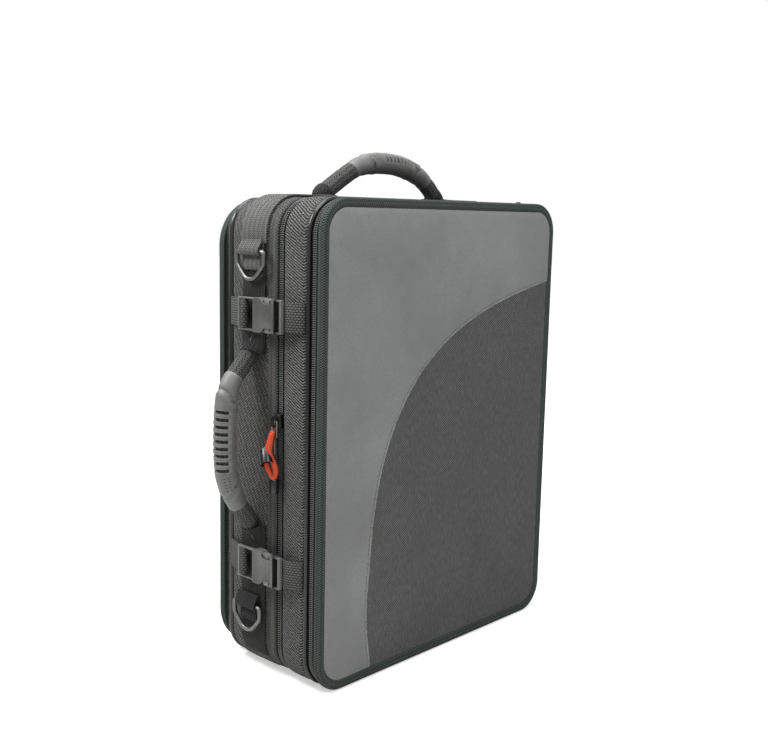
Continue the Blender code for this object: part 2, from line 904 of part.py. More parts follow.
def mirrored(points, height):
    """Closes the upper half of an outline with its mirror image about a height."""
    lower = [(y, height - z) for y, z in reversed(points)]
    return [(y, height + z) for y, z in points] + lower


def housing(name, height):
    """The female half: a flat hollow body with open sides, and the bar for its strap."""
    waist_drop = buckle_body_half - buckle_waist_half
    edge = [
        (body_front + along * buckle_body_length, buckle_waist_half + up * waist_drop)
        for along, up in notch_shares
    ]
    edge = [(bar_front, buckle_rail_half), (body_front, buckle_rail_half)] + edge
    made = side_slab(name, [mirrored(edge, height)], housing_low, housing_high, buckle_plastic)
    reach = buckle_body_half + overrun
    cuts = {
        "cavity": (
            (body_front + buckle_wall, body_back + overrun),
            cavity_half,
            (housing_low + buckle_wall, housing_high - buckle_wall),
        ),
        "slot": ((slot_front, body_front), buckle_rail_half - rail_width, (housing_low - overrun,
                                                                         housing_high + overrun)),
        "under": ((bar_front - overrun, body_front), reach, (housing_low - overrun, plate_low)),
        "over": ((bar_front - overrun, body_front), reach, (plate_high, housing_high + overrun)),
    }
    for label, (along, half, levels) in cuts.items():
        cutter = box(
            f"{name}_{label}",
            (-half_width - levels[1], along[0], height - half),
            (-half_width - levels[0], along[1], height + half),
            None,
            cutters,
        )
        boolean(made, cutter)
    return made


def ladder(name, height):
    """The male half's frame: guide tongue, block in the mouth, rails and the bars for its strap."""
    half = buckle_rail_half
    block_half = cavity_half - clearance * 2
    edge = [
        (block_front - tongue_length, tongue_half),
        (block_front, tongue_half),
        (block_front, block_half),
        (mouth, block_half),
        (mouth, half),
        (male_end_back, half),
    ]
    inside = half - rail_width
    holes = []
    for front, back in ((mouth + mouth_play, male_bar_front), (male_bar_back, male_end_front)):
        holes.append([(front, height - inside), (back, height - inside), (back, height + inside),
                      (front, height + inside)])
    return side_slab(name, [mirrored(edge, height)] + holes, plate_low, plate_high, buckle_plastic)


def release_arm(name, height, way):
    """One springy arm with the button that shows in the housing's open side."""
    button_back = arm_tip + button_tip + button_length
    edge = [
        (arm_root, arm_inner),
        (arm_root, arm_outer),
        (button_back + button_tip, arm_outer),
        (button_back, arm_inner + arm_thickness + button_proud),
        (arm_tip + button_tip * 2, arm_inner + arm_thickness + button_proud),
        (arm_tip, arm_outer),
        (arm_tip, arm_inner),
    ]
    points = [(y, height + way * z) for y, z in edge]
    return side_slab(name, [points], plate_low, plate_high, buckle_plastic)


def strap(name, route, height):
    """A strap from its route in (Y, level), as wide as the webbing."""
    path = [(-half_width - level, y, height - strap_width / 2) for y, level in route]
    return ribbon(name, path, (0.0, 0.0, strap_width), strap_thickness, webbing_cloth)


def rear_strap_route():
    seam = (base_back - strap_seam_inset, side_crown - shell_shoulder_drop / 2 + strap_thickness)
    turn_at = male_bar_front + strap_turn / 4
    rise = between(seam, (turn_at, strap_low), rear_rise_shares)
    bend = arc((turn_at, plate_mid), strap_turn, 270, 90, 6)
    tail = [(male_end_back, strap_high), (male_end_back + strap_tail, strap_high - strap_thickness / 4)]
    return rise + bend + tail


def front_strap_route():
    seam = (lid_front + strap_seam_inset, side_crown - shell_shoulder_drop / 2 + strap_thickness)
    turn_at = slot_front - strap_turn / 4
    rise = between(seam, (turn_at, strap_low), front_rise_shares)
    bend = arc((turn_at, plate_mid), strap_turn, 270, 450, 6)
    fold_end = (bar_front - front_fold_length, webbing_over + strap_thickness * 1.6)
    return rise + bend + between((turn_at, strap_high), fold_end, fold_fall_shares)


# D rings and the webbing tabs that carry them

tab_inner = webbing_over + clearance + strap_thickness / 2
tab_turn = ring_wire_radius + clearance + strap_thickness / 2
ring_level = tab_inner + tab_turn
ring_shares = (
    (-0.96, 0.0), (0.96, 0.0), (1.0, 0.04), (1.0, 0.42), (0.93, 0.54), (0.42, 0.93), (0.24, 1.0),
    (-0.24, 1.0), (-0.42, 0.93), (-0.93, 0.54), (-1.0, 0.42), (-1.0, 0.04),
)
tab_close_shares = ((0.18, 0.16), (0.40, 0.64), (0.62, 1.0), (1.0, 1.0))


def d_ring(name, line, height):
    points = [
        (-half_width - ring_level, line + across * ring_half_width, height - down * ring_drop)
        for across, down in ring_shares
    ]
    return tube(name, points, ring_wire_radius, ring_metal, cyclic=True, resolution=1)


def ring_tab(name, line, height):
    bend = arc((ring_level, height), tab_turn, 180, 360, 6)
    outer = between(
        (ring_level + tab_turn, height),
        (tab_inner + strap_thickness + clearance, height + tab_length),
        [(up, along) for along, up in tab_close_shares],
    )
    route = [(tab_inner, height + tab_length)] + bend + outer
    path = [(-half_width - level, line - tab_width / 2, z) for level, z in route]
    return ribbon(name, path, (0.0, tab_width, 0.0), strap_thickness, webbing_cloth)


# Zip sliders and pulls, written in their own frame: x along the zip, y across, z out


def framed_box(low, high, share):
    """Corners of a box in a slider's frame, scaled by the slider's share."""
    return [value * share for value in low], [value * share for value in high]


def zip_slider(prefix, to_world, share, width):
    """The slider's body with its bridge, and the flat pull that hangs from the bridge."""
    half = slider_length / 2
    body_high = slider_thickness
    top = body_high + bridge_height
    window = pull_bar / 2 + clearance * 3
    pivot = body_high + window + clearance
    body_low, body_top = framed_box((-half, 0.0, 0.0), (half, 0.0, body_high), share)
    body_low[1], body_top[1] = -width / 2, width / 2
    body = box(prefix + "_slider", body_low, body_top, slider_metal)
    soften(body, slider_chamfer * share)
    bridge_low, bridge_top = framed_box(
        (-bridge_length / 2, -bridge_width / 2, body_high - overrun / 2),
        (bridge_length / 2, bridge_width / 2, top),
        share,
    )
    bridge = box(prefix + "_bridge", bridge_low, bridge_top, None, cutters)
    hole_low, hole_top = framed_box(
        (-bridge_length / 2 + bridge_wall, -slider_width, body_high),
        (bridge_length / 2 - bridge_wall, slider_width, top - bridge_wall),
        share,
    )
    hole = box(prefix + "_bridge_hole", hole_low, hole_top, None, cutters)
    boolean(body, bridge, "UNION")
    boolean(body, hole)
    pull = pull_tab(prefix + "_pull", share, pivot)
    for piece in (body, bridge, hole, pull):
        piece.matrix_world = to_world @ piece.matrix_world
    return body, pull, pivot * share


def pull_tab(name, share, pivot):
    """A flat pull: the bar in the bridge, an eye round the bridge's leg, a hole and a narrow tail."""
    half = pull_width / 2
    start = pull_bar / 2
    eye_end = -start - pull_eye_length
    hole_start = eye_end - pull_web
    hole_end = hole_start - pull_hole_length
    shoulder = hole_end - pull_web
    tail = shoulder - pull_tail_length
    side = (pull_width - bridge_width) / 2 - clearance * 3
    inner = half - side
    outer = [
        (start, -half), (start, half), (shoulder, half), (shoulder - pull_web, pull_tail_width / 2),
        (tail, pull_tail_width / 2), (tail, -pull_tail_width / 2),
        (shoulder - pull_web, -pull_tail_width / 2), (shoulder, -half),
    ]
    holes = [
        [(-start, -inner), (-start, inner), (eye_end, inner), (eye_end, -inner)],
        [(hole_start, -inner), (hole_start, inner), (hole_end, inner), (hole_end, -inner)],
    ]
    scaled = [[(x * share, y * share) for x, y in points] for points in [outer] + holes]
    low = (pivot - pull_thickness / 2) * share
    high = (pivot + pull_thickness / 2) * share
    return slab(name, scaled, low, high, Matrix.Identity(4), pull_metal)


main_teeth_top = main_tape_level + tooth_rise + clearance
front_teeth_top = front_tape_level + tooth_rise + clearance
back_teeth_top = back_tape_level + tooth_rise + clearance
pocket_slider_across = half_width - shell_corner_radius - pocket_slider_from_corner


def side_slider_frame():
    turn = Matrix(((0, 0, -1), (0, 1, 0), (1, 0, 0))).to_4x4()
    return Matrix.Translation((-half_width - main_teeth_top, zip_line, slider_rest_height)) @ turn


def top_slider_frame(line, level):
    return Matrix.Translation((pocket_slider_across, line, shell_top + level))


cord_hole_drop = pull_bar / 2 + pull_eye_length + pull_web + pull_hole_length / 2
cord_end_drop = cord_hole_drop + cord_drop
cord_pinch_shares = (0.8, 0.6, 0.55, 0.6, 0.8)


def pull_cord(pivot):
    """Orange cord through the pull's hole: its two ends run down into the dark sleeve."""
    level = main_teeth_top + pivot
    near = pull_thickness / 2 + cord_radius + clearance
    front = level + cord_front_stand
    gather = cord_radius + clearance
    route = [
        (-gather, level, cord_end_drop),
        (-gather, level, cord_end_drop - cord_radius * 2),
        (-cord_spread * 0.75, level, cord_end_drop - bead_length * 0.55),
        (-cord_spread, level, cord_end_drop - bead_length * 1.2),
        (-cord_spread, level - near / 3, cord_hole_drop + bead_length * 0.8),
        (-cord_spread * 0.7, level - near, cord_hole_drop + cord_radius * 4),
        (-cord_radius, level - near, cord_hole_drop + cord_radius),
        (0.0, level - near * 0.8, cord_hole_drop),
        (0.0, level, cord_hole_drop),
        (0.0, level + near * 0.8, cord_hole_drop),
        (cord_radius, level + near, cord_hole_drop + cord_radius),
        (cord_spread * 0.7, front, cord_hole_drop + cord_radius * 4),
        (cord_spread, front, cord_hole_drop + bead_start - cord_radius * 2),
        (cord_spread, front, cord_hole_drop + bead_start + bead_length + cord_radius),
        (cord_spread * 0.75, front - cord_radius / 2, cord_end_drop - cord_radius * 3.4),
        (gather, level + cord_radius / 4, cord_end_drop - cord_radius),
        (gather, level, cord_end_drop),
    ]
    points = [
        (-half_width - out, zip_line + across, slider_rest_height - down) for across, out, down in route
    ]
    ends = (len(points) - len(cord_pinch_shares)) // 2
    shares = [1.0] * ends + list(cord_pinch_shares) + [1.0] * ends
    return tube("main_pull_cord", points, cord_radius, orange_cord, shares=shares, resolution=1)


def pull_sleeve(pivot):
    level = main_teeth_top + pivot
    high = slider_rest_height - cord_end_drop - clearance
    made = box(
        "main_pull_sleeve",
        (-half_width - level - sleeve_depth / 2, zip_line - sleeve_width / 2, high - sleeve_length),
        (-half_width - level + sleeve_depth / 2, zip_line + sleeve_width / 2, high),
        grey_plastic,
    )
    soften(made, sleeve_chamfer, 2)
    return made


def pull_bead(pivot):
    """A dark bead that rides on the cord's outer strand."""
    front = main_teeth_top + pivot + cord_front_stand
    centre = slider_rest_height - cord_hole_drop - bead_start - bead_length / 2
    spot = (-half_width - front, zip_line + cord_spread, centre)
    shape = bmesh.new()
    bmesh.ops.create_cone(
        shape, cap_ends=True, segments=bead_sides, radius1=bead_radius, radius2=bead_radius,
        depth=bead_length,
    )
    mesh = bpy.data.meshes.new("main_pull_bead")
    shape.to_mesh(mesh)
    shape.free()
    made = place(mesh, "main_pull_bead", grey_plastic)
    made.location = spot
    soften(made, sleeve_chamfer)
    shape = bmesh.new()
    bmesh.ops.create_cone(
        shape, cap_ends=True, segments=bead_sides, radius1=cord_radius + clearance,
        radius2=cord_radius + clearance, depth=bead_length + overrun,
    )
    mesh = bpy.data.meshes.new("bead_bore")
    shape.to_mesh(mesh)
    shape.free()
    bore = place(mesh, "bead_bore", None, cutters)
    bore.location = spot
    boolean(made, bore)
    return made


def build():
    base_walls()
    taped_half("base_zip_half", zip_line, base_front, main_tape_level, main_teeth_depth)
    taped_half("base_pocket_zip", back_zip_line, base_back, back_tape_level, back_teeth_depth)
    lid = lid_walls()
    lid.append(taped_half("lid_zip_half", zip_line, lid_back, main_tape_level, main_teeth_depth))
    lid.append(
        taped_half("lid_pocket_zip", front_zip_line, lid_front, front_tape_level, pocket_teeth_depth)
    )
    _, pad = tray_and_pad()
    _, lid_strip = hinge_strips()
    lid += [pad, lid_strip]
    carrying_webbing()
    anchors()

    arms = []
    for place_name, height in (("upper", upper_buckle_height), ("lower", lower_buckle_height)):
        strap(f"rear_strap_{place_name}", rear_strap_route(), height)
        ladder(f"buckle_male_{place_name}", height)
        lid.append(strap(f"front_strap_{place_name}", front_strap_route(), height))
        lid.append(housing(f"buckle_female_{place_name}", height))
        for side, way in (("top", 1), ("bottom", -1)):
            arm = release_arm(f"buckle_arm_{place_name}_{side}", height, way)
            arms.append((arm, height + way * (arm_inner + arm_thickness / 2)))
    lid_axis = axis("lid_axis", (hinge_x, zip_line, side_handle_height), lid)
    for arm, height in arms:
        axis(arm.name + "_axis", (-half_width - plate_mid, arm_root, height), [arm])

    axis("front_panel_axis", (hinge_x, front_zip_line, side_handle_height), front_panel(), lid_axis)
    axis("back_panel_axis", (hinge_x, back_zip_line, side_handle_height), back_panel())

    foot_level = half_width + handle_foot
    axis("side_handle_axis", (-foot_level, handle_line, side_handle_height), handle("side_handle", on_side))
    top_foot = shell_top + handle_foot
    axis("top_handle_axis", (top_handle_across, handle_line, top_foot), handle("top_handle", on_top))

    for place_name, line, height in (
        ("upper", upper_ring_line, upper_ring_height),
        ("lower", lower_ring_line, lower_ring_height),
    ):
        ring_tab(f"ring_tab_{place_name}", line, height)
        ring = d_ring(f"d_ring_{place_name}", line, height)
        axis(f"d_ring_{place_name}_axis", (-half_width - ring_level, line, height), [ring])

    body, pull, pivot = zip_slider("main_zip", side_slider_frame(), 1.0, slider_width)
    spot = Vector((-half_width - main_teeth_top, zip_line, slider_rest_height))
    slider_axis = axis("main_slider_axis", spot, [body])
    hanging = [pull, pull_cord(pivot), pull_sleeve(pivot), pull_bead(pivot)]
    axis("main_pull_axis", spot - Vector((pivot, 0.0, 0.0)), hanging, slider_axis)
    for prefix, line, level, width, parent in (
        ("front_pocket", front_zip_line, front_teeth_top, pocket_teeth_depth, lid_axis),
        ("back_pocket", back_zip_line, back_teeth_top, back_teeth_depth, None),
    ):
        frame = top_slider_frame(line, level)
        body, pull, pivot = zip_slider(prefix, frame, pocket_slider_share, width)
        spot = Vector((pocket_slider_across, line, shell_top + level))
        slider_axis = axis(prefix + "_slider_axis", spot, [body], parent)
        axis(prefix + "_pull_axis", spot + Vector((0.0, 0.0, pivot)), [pull], slider_axis)


build()
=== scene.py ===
import bpy
import bmesh
import math
from mathutils import Matrix, Vector
from mathutils.kdtree import KDTree


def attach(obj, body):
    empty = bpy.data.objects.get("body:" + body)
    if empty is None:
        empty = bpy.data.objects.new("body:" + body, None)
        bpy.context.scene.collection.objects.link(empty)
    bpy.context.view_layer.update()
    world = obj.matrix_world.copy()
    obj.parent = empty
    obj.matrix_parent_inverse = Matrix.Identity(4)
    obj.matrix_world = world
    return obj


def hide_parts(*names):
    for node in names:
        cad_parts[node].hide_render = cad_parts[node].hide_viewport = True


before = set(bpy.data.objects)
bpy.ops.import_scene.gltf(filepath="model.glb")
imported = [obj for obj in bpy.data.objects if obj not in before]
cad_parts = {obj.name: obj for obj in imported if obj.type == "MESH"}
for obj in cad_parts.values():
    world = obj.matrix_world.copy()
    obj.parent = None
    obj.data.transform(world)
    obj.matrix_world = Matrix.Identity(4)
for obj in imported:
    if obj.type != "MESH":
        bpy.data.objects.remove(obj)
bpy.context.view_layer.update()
print("frame loaded")


def wired(tree, kind, settings, values):
    # a node with its settings; a value that is a socket is linked, any other is typed in
    made = tree.nodes.new(kind)
    for key, value in settings.items():
        setattr(made, key, value)
    for key, value in values.items():
        if isinstance(value, bpy.types.NodeSocket):
            tree.links.new(value, made.inputs[key])
        else:
            made.inputs[key].default_value = value
    return made


class Wire:
    # a socket that is added and multiplied like a number
    def __init__(self, finish, socket):
        self.finish = finish
        self.socket = socket

    def calc(self, operation, *values):
        return self.finish.add("ShaderNodeMath", {"operation": operation}, dict(enumerate(values)))

    def __add__(self, other):
        return self.calc("ADD", self, other)

    def __sub__(self, other):
        return self.calc("SUBTRACT", self, other)

    def __rsub__(self, other):
        return self.calc("SUBTRACT", other, self)

    def __mul__(self, other):
        return self.calc("MULTIPLY", self, other)

    def __truediv__(self, other):
        return self.calc("DIVIDE", self, other)

    def fraction(self):
        return self.calc("FRACT", self)

    def size(self):
        return self.calc("ABSOLUTE", self)

    def sway(self):
        # 0.5 at each whole number, falling to 0 half way between
        return (self.fraction() - 0.5).size()

    def ribs(self, pitch):
        # a wave between 0 and 1 that repeats every pitch
        return self.calc("SINE", self * (2 * math.pi / pitch)) * 0.5 + 0.5

    def fade(self, low, high):
        # 0 below low, 1 above high, smooth between
        return self.finish.add("ShaderNodeMapRange", {"interpolation_type": "SMOOTHSTEP"},
                               {"Value": self, "From Min": low, "From Max": high})


class Finish:
    # one material: its nodes, its coordinates and its Principled shader
    def __init__(self, name, **constants):
        self.material = bpy.data.materials.new(name)
        self.material.use_nodes = True
        self.tree = self.material.node_tree
        self.shader = self.tree.nodes["Principled BSDF"]
        for socket, value in constants.items():
            self.shader.inputs[socket.replace("_", " ")].default_value = value

    def add(self, kind, settings, values, output=0):
        plain = {key: value.socket if isinstance(value, Wire) else value
                 for key, value in values.items()}
        return Wire(self, wired(self.tree, kind, settings, plain).outputs[output])

    def place(self):
        return self.add("ShaderNodeTexCoord", {}, {}, "Object")

    def flat(self, layer="cloth"):
        return self.add("ShaderNodeUVMap", {"uv_map": layer}, {})

    def apart(self, vector):
        split = wired(self.tree, "ShaderNodeSeparateXYZ", {}, {0: vector.socket})
        return [Wire(self, socket) for socket in split.outputs]

    def joined(self, x, y, z=0.0):
        return self.add("ShaderNodeCombineXYZ", {}, {0: x, 1: y, 2: z})

    def noise(self, vector, scale, detail=3.0, roughness=0.5):
        values = {"Vector": vector, "Scale": scale, "Detail": detail, "Roughness": roughness}
        return self.add("ShaderNodeTexNoise", {}, values)

    def mixed(self, share, first, second):
        first, second = ((*c, 1.0) if isinstance(c, tuple) else c for c in (first, second))
        return self.add("ShaderNodeMix", {"data_type": "RGBA"}, {0: share, 6: first, 7: second}, 2)

    def close(self, colour, roughness, height, depth):
        link = self.tree.links.new
        link(colour.socket, self.shader.inputs["Base Color"])
        if roughness:
            link(roughness.socket, self.shader.inputs["Roughness"])
        bump = self.add("ShaderNodeBump", {},
                        {"Height": height, "Distance": depth, "Strength": 1.0})
        link(bump.socket, self.shader.inputs["Normal"])
        return self.material


def toned(tone, share):
    return tuple(c * share for c in tone)


def mottleAndSheen(finish, vector, tone, spread, scale=18.0):
    # slow colour variation: uneven tone on cloth; on the leather, stronger, it is also painted
    # sheen over soft folds
    share = finish.noise(vector, scale, 4.0, 0.6).fade(0.3, 0.7)
    return finish.mixed(share, toned(tone, 1 - spread), toned(tone, 1 + spread))


def woven(made, height, tone, contrast, depth, bumps=None):
    # raised threads painted light, the gaps between them painted dark as shade
    base = mottleAndSheen(made, made.place(), toned(tone, 1 + contrast), 0.07)
    colour = made.mixed(height, toned(tone, 1 - contrast), base)
    return made.close(colour, None, bumps or height, depth)


def twillCloth(name, tone, pitch, column, slope, contrast, depth, dots=0.35, start=0.0):
    # diagonal ribs whose lean turns over from column to column, each made of short stitches
    made = Finish(name, Roughness=0.88, Specular_IOR_Level=0.12)
    u, v, _ = made.apart(made.flat())
    wobble = made.noise(made.joined(u, v), 260.0) * (pitch * 1.1)
    lean = (v / (2 * column) + start).sway() * (2 * column * slope) + wobble
    stitches = (v - u * 0.6).ribs(pitch * 0.8)
    fray = made.noise(made.joined(u, v), 420.0, 2.0).fade(0.3, 0.7) * 0.45 + 0.6
    height = (u + lean).ribs(pitch).fade(0.12, 0.95) * (stitches * dots + (1 - dots)) * fray
    return woven(made, height, tone, contrast, depth)


def fineCloth(name, tone, pitch, contrast, depth):
    # fine dotted twill of the panels and the linings
    made = Finish(name, Roughness=0.8, Specular_IOR_Level=0.15)
    x, y, z = made.apart(made.place())
    wobble = made.noise(made.place(), 120.0) * (pitch * 0.8)
    across = (x * 1.25 + z).ribs(pitch * 0.85)
    height = (x * 0.75 - z + wobble).ribs(pitch) * (across * 0.55 + 0.45)
    slub = made.noise(made.joined(x * 900.0, y, z * 160.0), 1.0, 2.0).fade(0.35, 0.75)
    return woven(made, height * 0.8 + slub * 0.2, tone, contrast, depth, height)


def bandCloth(name, tone, pitch, contrast, depth, lean=0.5, row=1.9):
    # webbing, zip tape and edge tape: short slanted ribs in rows along the band
    made = Finish(name, Roughness=0.84, Specular_IOR_Level=0.14)
    u, v, _ = made.apart(made.flat())
    wide = pitch * row
    fold = (v / wide).sway() * 2.0
    fuzz = made.noise(made.joined(u, v), 700.0, 2.0)
    ribs = (u + fold * (wide * lean)).ribs(pitch)
    height = ribs.fade(0.1, 0.9) * (v.ribs(wide) * 0.4 + 0.6) * (fuzz * 0.6 + 0.7)
    return woven(made, height, tone, contrast, depth)


def dottedBand(name, tone, long, wide, contrast, depth):
    # strap webbing: bright floats in rows, each row shifted by half
    made = Finish(name, Roughness=0.72, Specular_IOR_Level=0.2)
    u, v, _ = made.apart(made.flat())
    row = v / wide
    shift = (row.fraction() - row) * 0.5
    du = (u / long + shift).sway()
    dv = row.sway()
    fuzz = made.noise(made.joined(u, v), 800.0, 2.0) * 0.12
    height = 1.0 - (du * du * 2.2 + dv * dv * 2.6 + fuzz).fade(0.12, 0.85)
    return woven(made, height, tone, contrast, depth)


def grainedLeather(name, tone):
    # small pebbles with fine creases between them, and a slow sheen over the board from bumps and
    # roughness, with painted sheen in the colour
    made = Finish(name, Specular_IOR_Level=0.32)
    spot = made.place()
    grain = made.add("ShaderNodeTexVoronoi", {"feature": "DISTANCE_TO_EDGE"},
                     {"Vector": spot, "Scale": 1250.0}, "Distance").fade(0.0, 0.3)
    fine = made.noise(spot, 520.0, 4.0, 0.65)
    height = grain * 0.5 + fine * 0.5 + made.noise(spot, 15.0, 2.0, 0.4) * 45.0
    # lighter and darker patches: uneven tone and painted sheen; the creases darker with the grain
    colour = made.mixed((1.0 - grain) * 0.16 + fine.fade(0.3, 0.75) * 0.34,
                        mottleAndSheen(made, spot, tone, 0.15, 9.0), toned(tone, 0.6))
    # the cloth map holds the distance from the seam: a painted highlight on the turned edge, then
    # painted shade along the stitched groove
    far, _, _ = made.apart(made.flat())
    colour = made.mixed((1.0 - far.fade(0.0009, 0.0015)) * 0.8, colour, toned(tone, 1.35))
    groove = 1.0 - (far - panel["stitchIn"]).size().fade(0.0004, 0.0010)
    colour = made.mixed(groove * 0.5, colour, toned(tone, 0.6))
    return made.close(colour, made.noise(spot, 24.0) * 0.16 + 0.38, height, 0.00022)


def plushPile(name, tone):
    # short pile: brushed patches painted lighter and darker, and light pile tips, as painted sheen
    made = Finish(name, Roughness=0.95, Specular_IOR_Level=0.1, Sheen_Weight=0.5,
                  Sheen_Roughness=0.5)
    spot = made.place()
    pile = made.noise(spot, 1500.0, 2.0)
    brushed = made.noise(spot, 40.0, 4.0, 0.65).fade(0.35, 0.65)
    base = made.mixed(brushed, toned(tone, 0.75), toned(tone, 1.3))
    colour = made.mixed(pile.fade(0.35, 0.7) * 0.5, base, toned(tone, 1.9))
    return made.close(colour, None, pile * 0.7 + brushed * 0.3, 0.0006)


def mouldedPlastic(name, tone, rough, wear, grain=2600.0, brushed=0.0, dimples=None):
    # matt from the mould: lighter along its ridges, partly wear and partly painted highlight, and
    # darker in its hollows as painted shade
    made = Finish(name, Specular_IOR_Level=0.4)
    spot = made.place()
    x, y, z = made.apart(spot)
    height = made.noise(spot, grain, 2.0)
    cloud = made.noise(spot, 60.0).fade(0.35, 0.7)
    colour = made.mixed(cloud, toned(tone, 0.88), toned(tone, 1.12))
    bend = made.add("ShaderNodeNewGeometry", {}, {}, "Pointiness")
    # ridges lighter: wear and painted highlight
    colour = made.mixed(bend.fade(0.512, 0.56) * 0.6, colour, toned(tone, wear))
    # hollows darker: painted shade
    colour = made.mixed((1.0 - bend.fade(0.42, 0.492)) * 0.85, colour, toned(tone, 0.15))
    if brushed:
        lines = made.noise(made.joined(x * 300.0, y * 60.0, z * 1800.0), 1.0)
        colour = made.mixed(lines.fade(0.4, 0.7) * brushed, colour, toned(tone, 1.6))
        height = height * 0.5 + lines
    if dimples:
        # small round dimples in a patch on the flank, painted dark inside as shade
        u, _, _ = made.apart(made.flat())
        du = (u / dimples).fraction() - 0.5
        dy = (y / dimples).fraction() - 0.5
        dot = 1.0 - (du * du + dy * dy).fade(0.03, 0.11)
        patch = dot * u.fade(0.0195, 0.020) * (1.0 - u.fade(0.0325, 0.033))
        patch = patch * (1.0 - y.fade(-0.0142, -0.0140)) * y.fade(-0.0190, -0.0188)
        colour = made.mixed(patch * 0.75, colour, toned(tone, 0.25))
        height = height - patch * 3.0
        # the map named deep holds how far out a point lies: painted shade darkens the slots'
        # floors
        deep, _, _ = made.apart(made.flat("deep"))
        colour = made.mixed((1.0 - deep.fade(0.66, 0.85)) * 0.9, colour, toned(tone, 0.06))
    return made.close(colour, cloud * 0.1 + rough, height, 0.00005)


def satinMetal(name, tone, rough):
    made = Finish(name, Metallic=1.0)
    spot = made.place()
    x, y, z = made.apart(spot)
    lines = made.noise(made.joined(x * 900.0, y * 900.0, z * 120.0), 1.0)
    cloud = made.noise(spot, 90.0)
    colour = made.mixed(cloud.fade(0.35, 0.7), toned(tone, 0.8), toned(tone, 1.15))
    return made.close(colour, cloud * 0.12 + lines * 0.09 + rough, lines, 0.00003)


# the front panel and the skins on it; its seam is given in half widths and heights of the case
panel = {
    "front": -0.0913, "back": 0.0432, "dome": 0.0022, "backDome": 0.0018, "backLip": 0.0075,
    "lip": (0.1480, 0.0118, 0.4037, 0.0190),  # the skins' outline: half width, bottom, top, radius
    "lipShift": 0.0022,  # the binding is wider at the right
    "seam": ((1.10, .829), (.892, .818), (.603, .795), (.308, .763), (.027, .718), (-.220, .654),
             (-.414, .569), (-.548, .468), (-.619, .358), (-.648, .244), (-.664, .131),
             (-.619, .021), (-.600, -.030)),
    "seamSteps": 9, "stitchPitch": 0.0040, "stitchIn": 0.0026,
}

# cloth: tone, pitch, contrast of painted light and shade, depth; moulded: tone, roughness, ridge
# lightening (wear and painted highlight); metal: tone, roughness
looks = {}
for name, make, tone, *rest in (
    ("lidTwill", twillCloth, (0.117, 0.117, 0.114), 0.0024, 0.0232, 0.55, 0.88, 0.0005, 0.5),
    ("baseTwill", twillCloth, (0.128, 0.127, 0.123), 0.0024, 0.0900, 0.8, 0.8, 0.0004, 0.9, 0.25),
    ("panelTwill", fineCloth, (0.102, 0.105, 0.103), 0.0025, 0.75, 0.0004),
    ("frontLeather", grainedLeather, (0.190, 0.197, 0.194)),
    ("edgeTape", bandCloth, (0.050, 0.060, 0.055), 0.0021, 0.85, 0.0003),
    # black tape, painted darker still as shade in the grooves beside the coils
    ("zipTape", bandCloth, (0.007, 0.008, 0.008), 0.0018, 0.85, 0.0003),
    ("zipBand", bandCloth, (0.085, 0.086, 0.082), 0.0024, 0.95, 0.0004, 0.9, 2.4),
    ("webbing", bandCloth, (0.104, 0.105, 0.102), 0.0019, 0.8, 0.0003, 0.5, 3.0),
    ("tubeBraid", bandCloth, (0.082, 0.084, 0.081), 0.0024, 0.95, 0.0005, 0.8, 2.0),
    # dark webbing, also painted shade on the corner webbing below the upper ring
    ("anchorWebbing", bandCloth, (0.026, 0.027, 0.026), 0.0019, 0.9, 0.0003, 0.5),
    ("strapWebbing", dottedBand, (0.049, 0.050, 0.048), 0.0029, 0.0021, 0.97, 0.0004),
    ("pipingVinyl", mouldedPlastic, (0.009, 0.010, 0.009), 0.16, 1.2, 900.0),
    ("buckleShell", mouldedPlastic, (0.056, 0.057, 0.055), 0.27, 3.2, 2600.0, 0.35),
    ("gripRubber", mouldedPlastic, (0.110, 0.111, 0.108), 0.42, 1.7, 1400.0, 0.0, 0.0025),
    ("darkPlastic", mouldedPlastic, (0.005, 0.005, 0.006), 0.16, 2.0),
    ("coilPlastic", mouldedPlastic, (0.078, 0.083, 0.083), 0.3, 1.6),
    ("ringSteel", satinMetal, (0.150, 0.150, 0.147), 0.30),
    ("sliderSteel", satinMetal, (0.030, 0.031, 0.031), 0.25),
    ("pullSteel", satinMetal, (0.27, 0.245, 0.205), 0.22),
    ("stitchThread", mouldedPlastic, (0.045, 0.047, 0.046), 0.6, 1.2, 4000.0),
    ("tackThread", mouldedPlastic, (0.120, 0.122, 0.118), 0.6, 1.2, 4000.0),
    ("orangeCord", bandCloth, (0.640, 0.088, 0.040), 0.0016, 0.35, 0.0002, 0.6, 1.5),
    ("plush", plushPile, (0.030, 0.031, 0.033)),
    ("liningCloth", fineCloth, (0.040, 0.041, 0.041), 0.0014, 0.5, 0.0002),
    ("hingeCloth", fineCloth, (0.055, 0.056, 0.055), 0.0019, 0.7, 0.0003),
):
    looks[name] = make(name, tone, *rest)
print("finishes ready")


def nothingSelected():
    if bpy.context.object and bpy.context.object.mode != "OBJECT":
        bpy.ops.object.mode_set(mode="OBJECT")
    bpy.ops.object.select_all(action="DESELECT")


def onlyThis(piece):
    nothingSelected()
    piece.select_set(True)
    bpy.context.view_layer.objects.active = piece


def edit(piece):
    onlyThis(piece)
    bpy.ops.object.mode_set(mode="EDIT")
    bpy.ops.mesh.select_all(action="SELECT")


def backToObject():
    bpy.ops.object.mode_set(mode="OBJECT")


def settle(piece):
    # the place, turn and size go into the mesh
    onlyThis(piece)
    bpy.ops.object.transform_apply(location=True, rotation=True, scale=True)


def added(kind, name, scale=(1, 1, 1), **settings):
    nothingSelected()
    getattr(bpy.ops.mesh, "primitive_" + kind + "_add")(**settings)
    made = bpy.context.object
    made.name = name
    made.scale = scale
    settle(made)
    return made


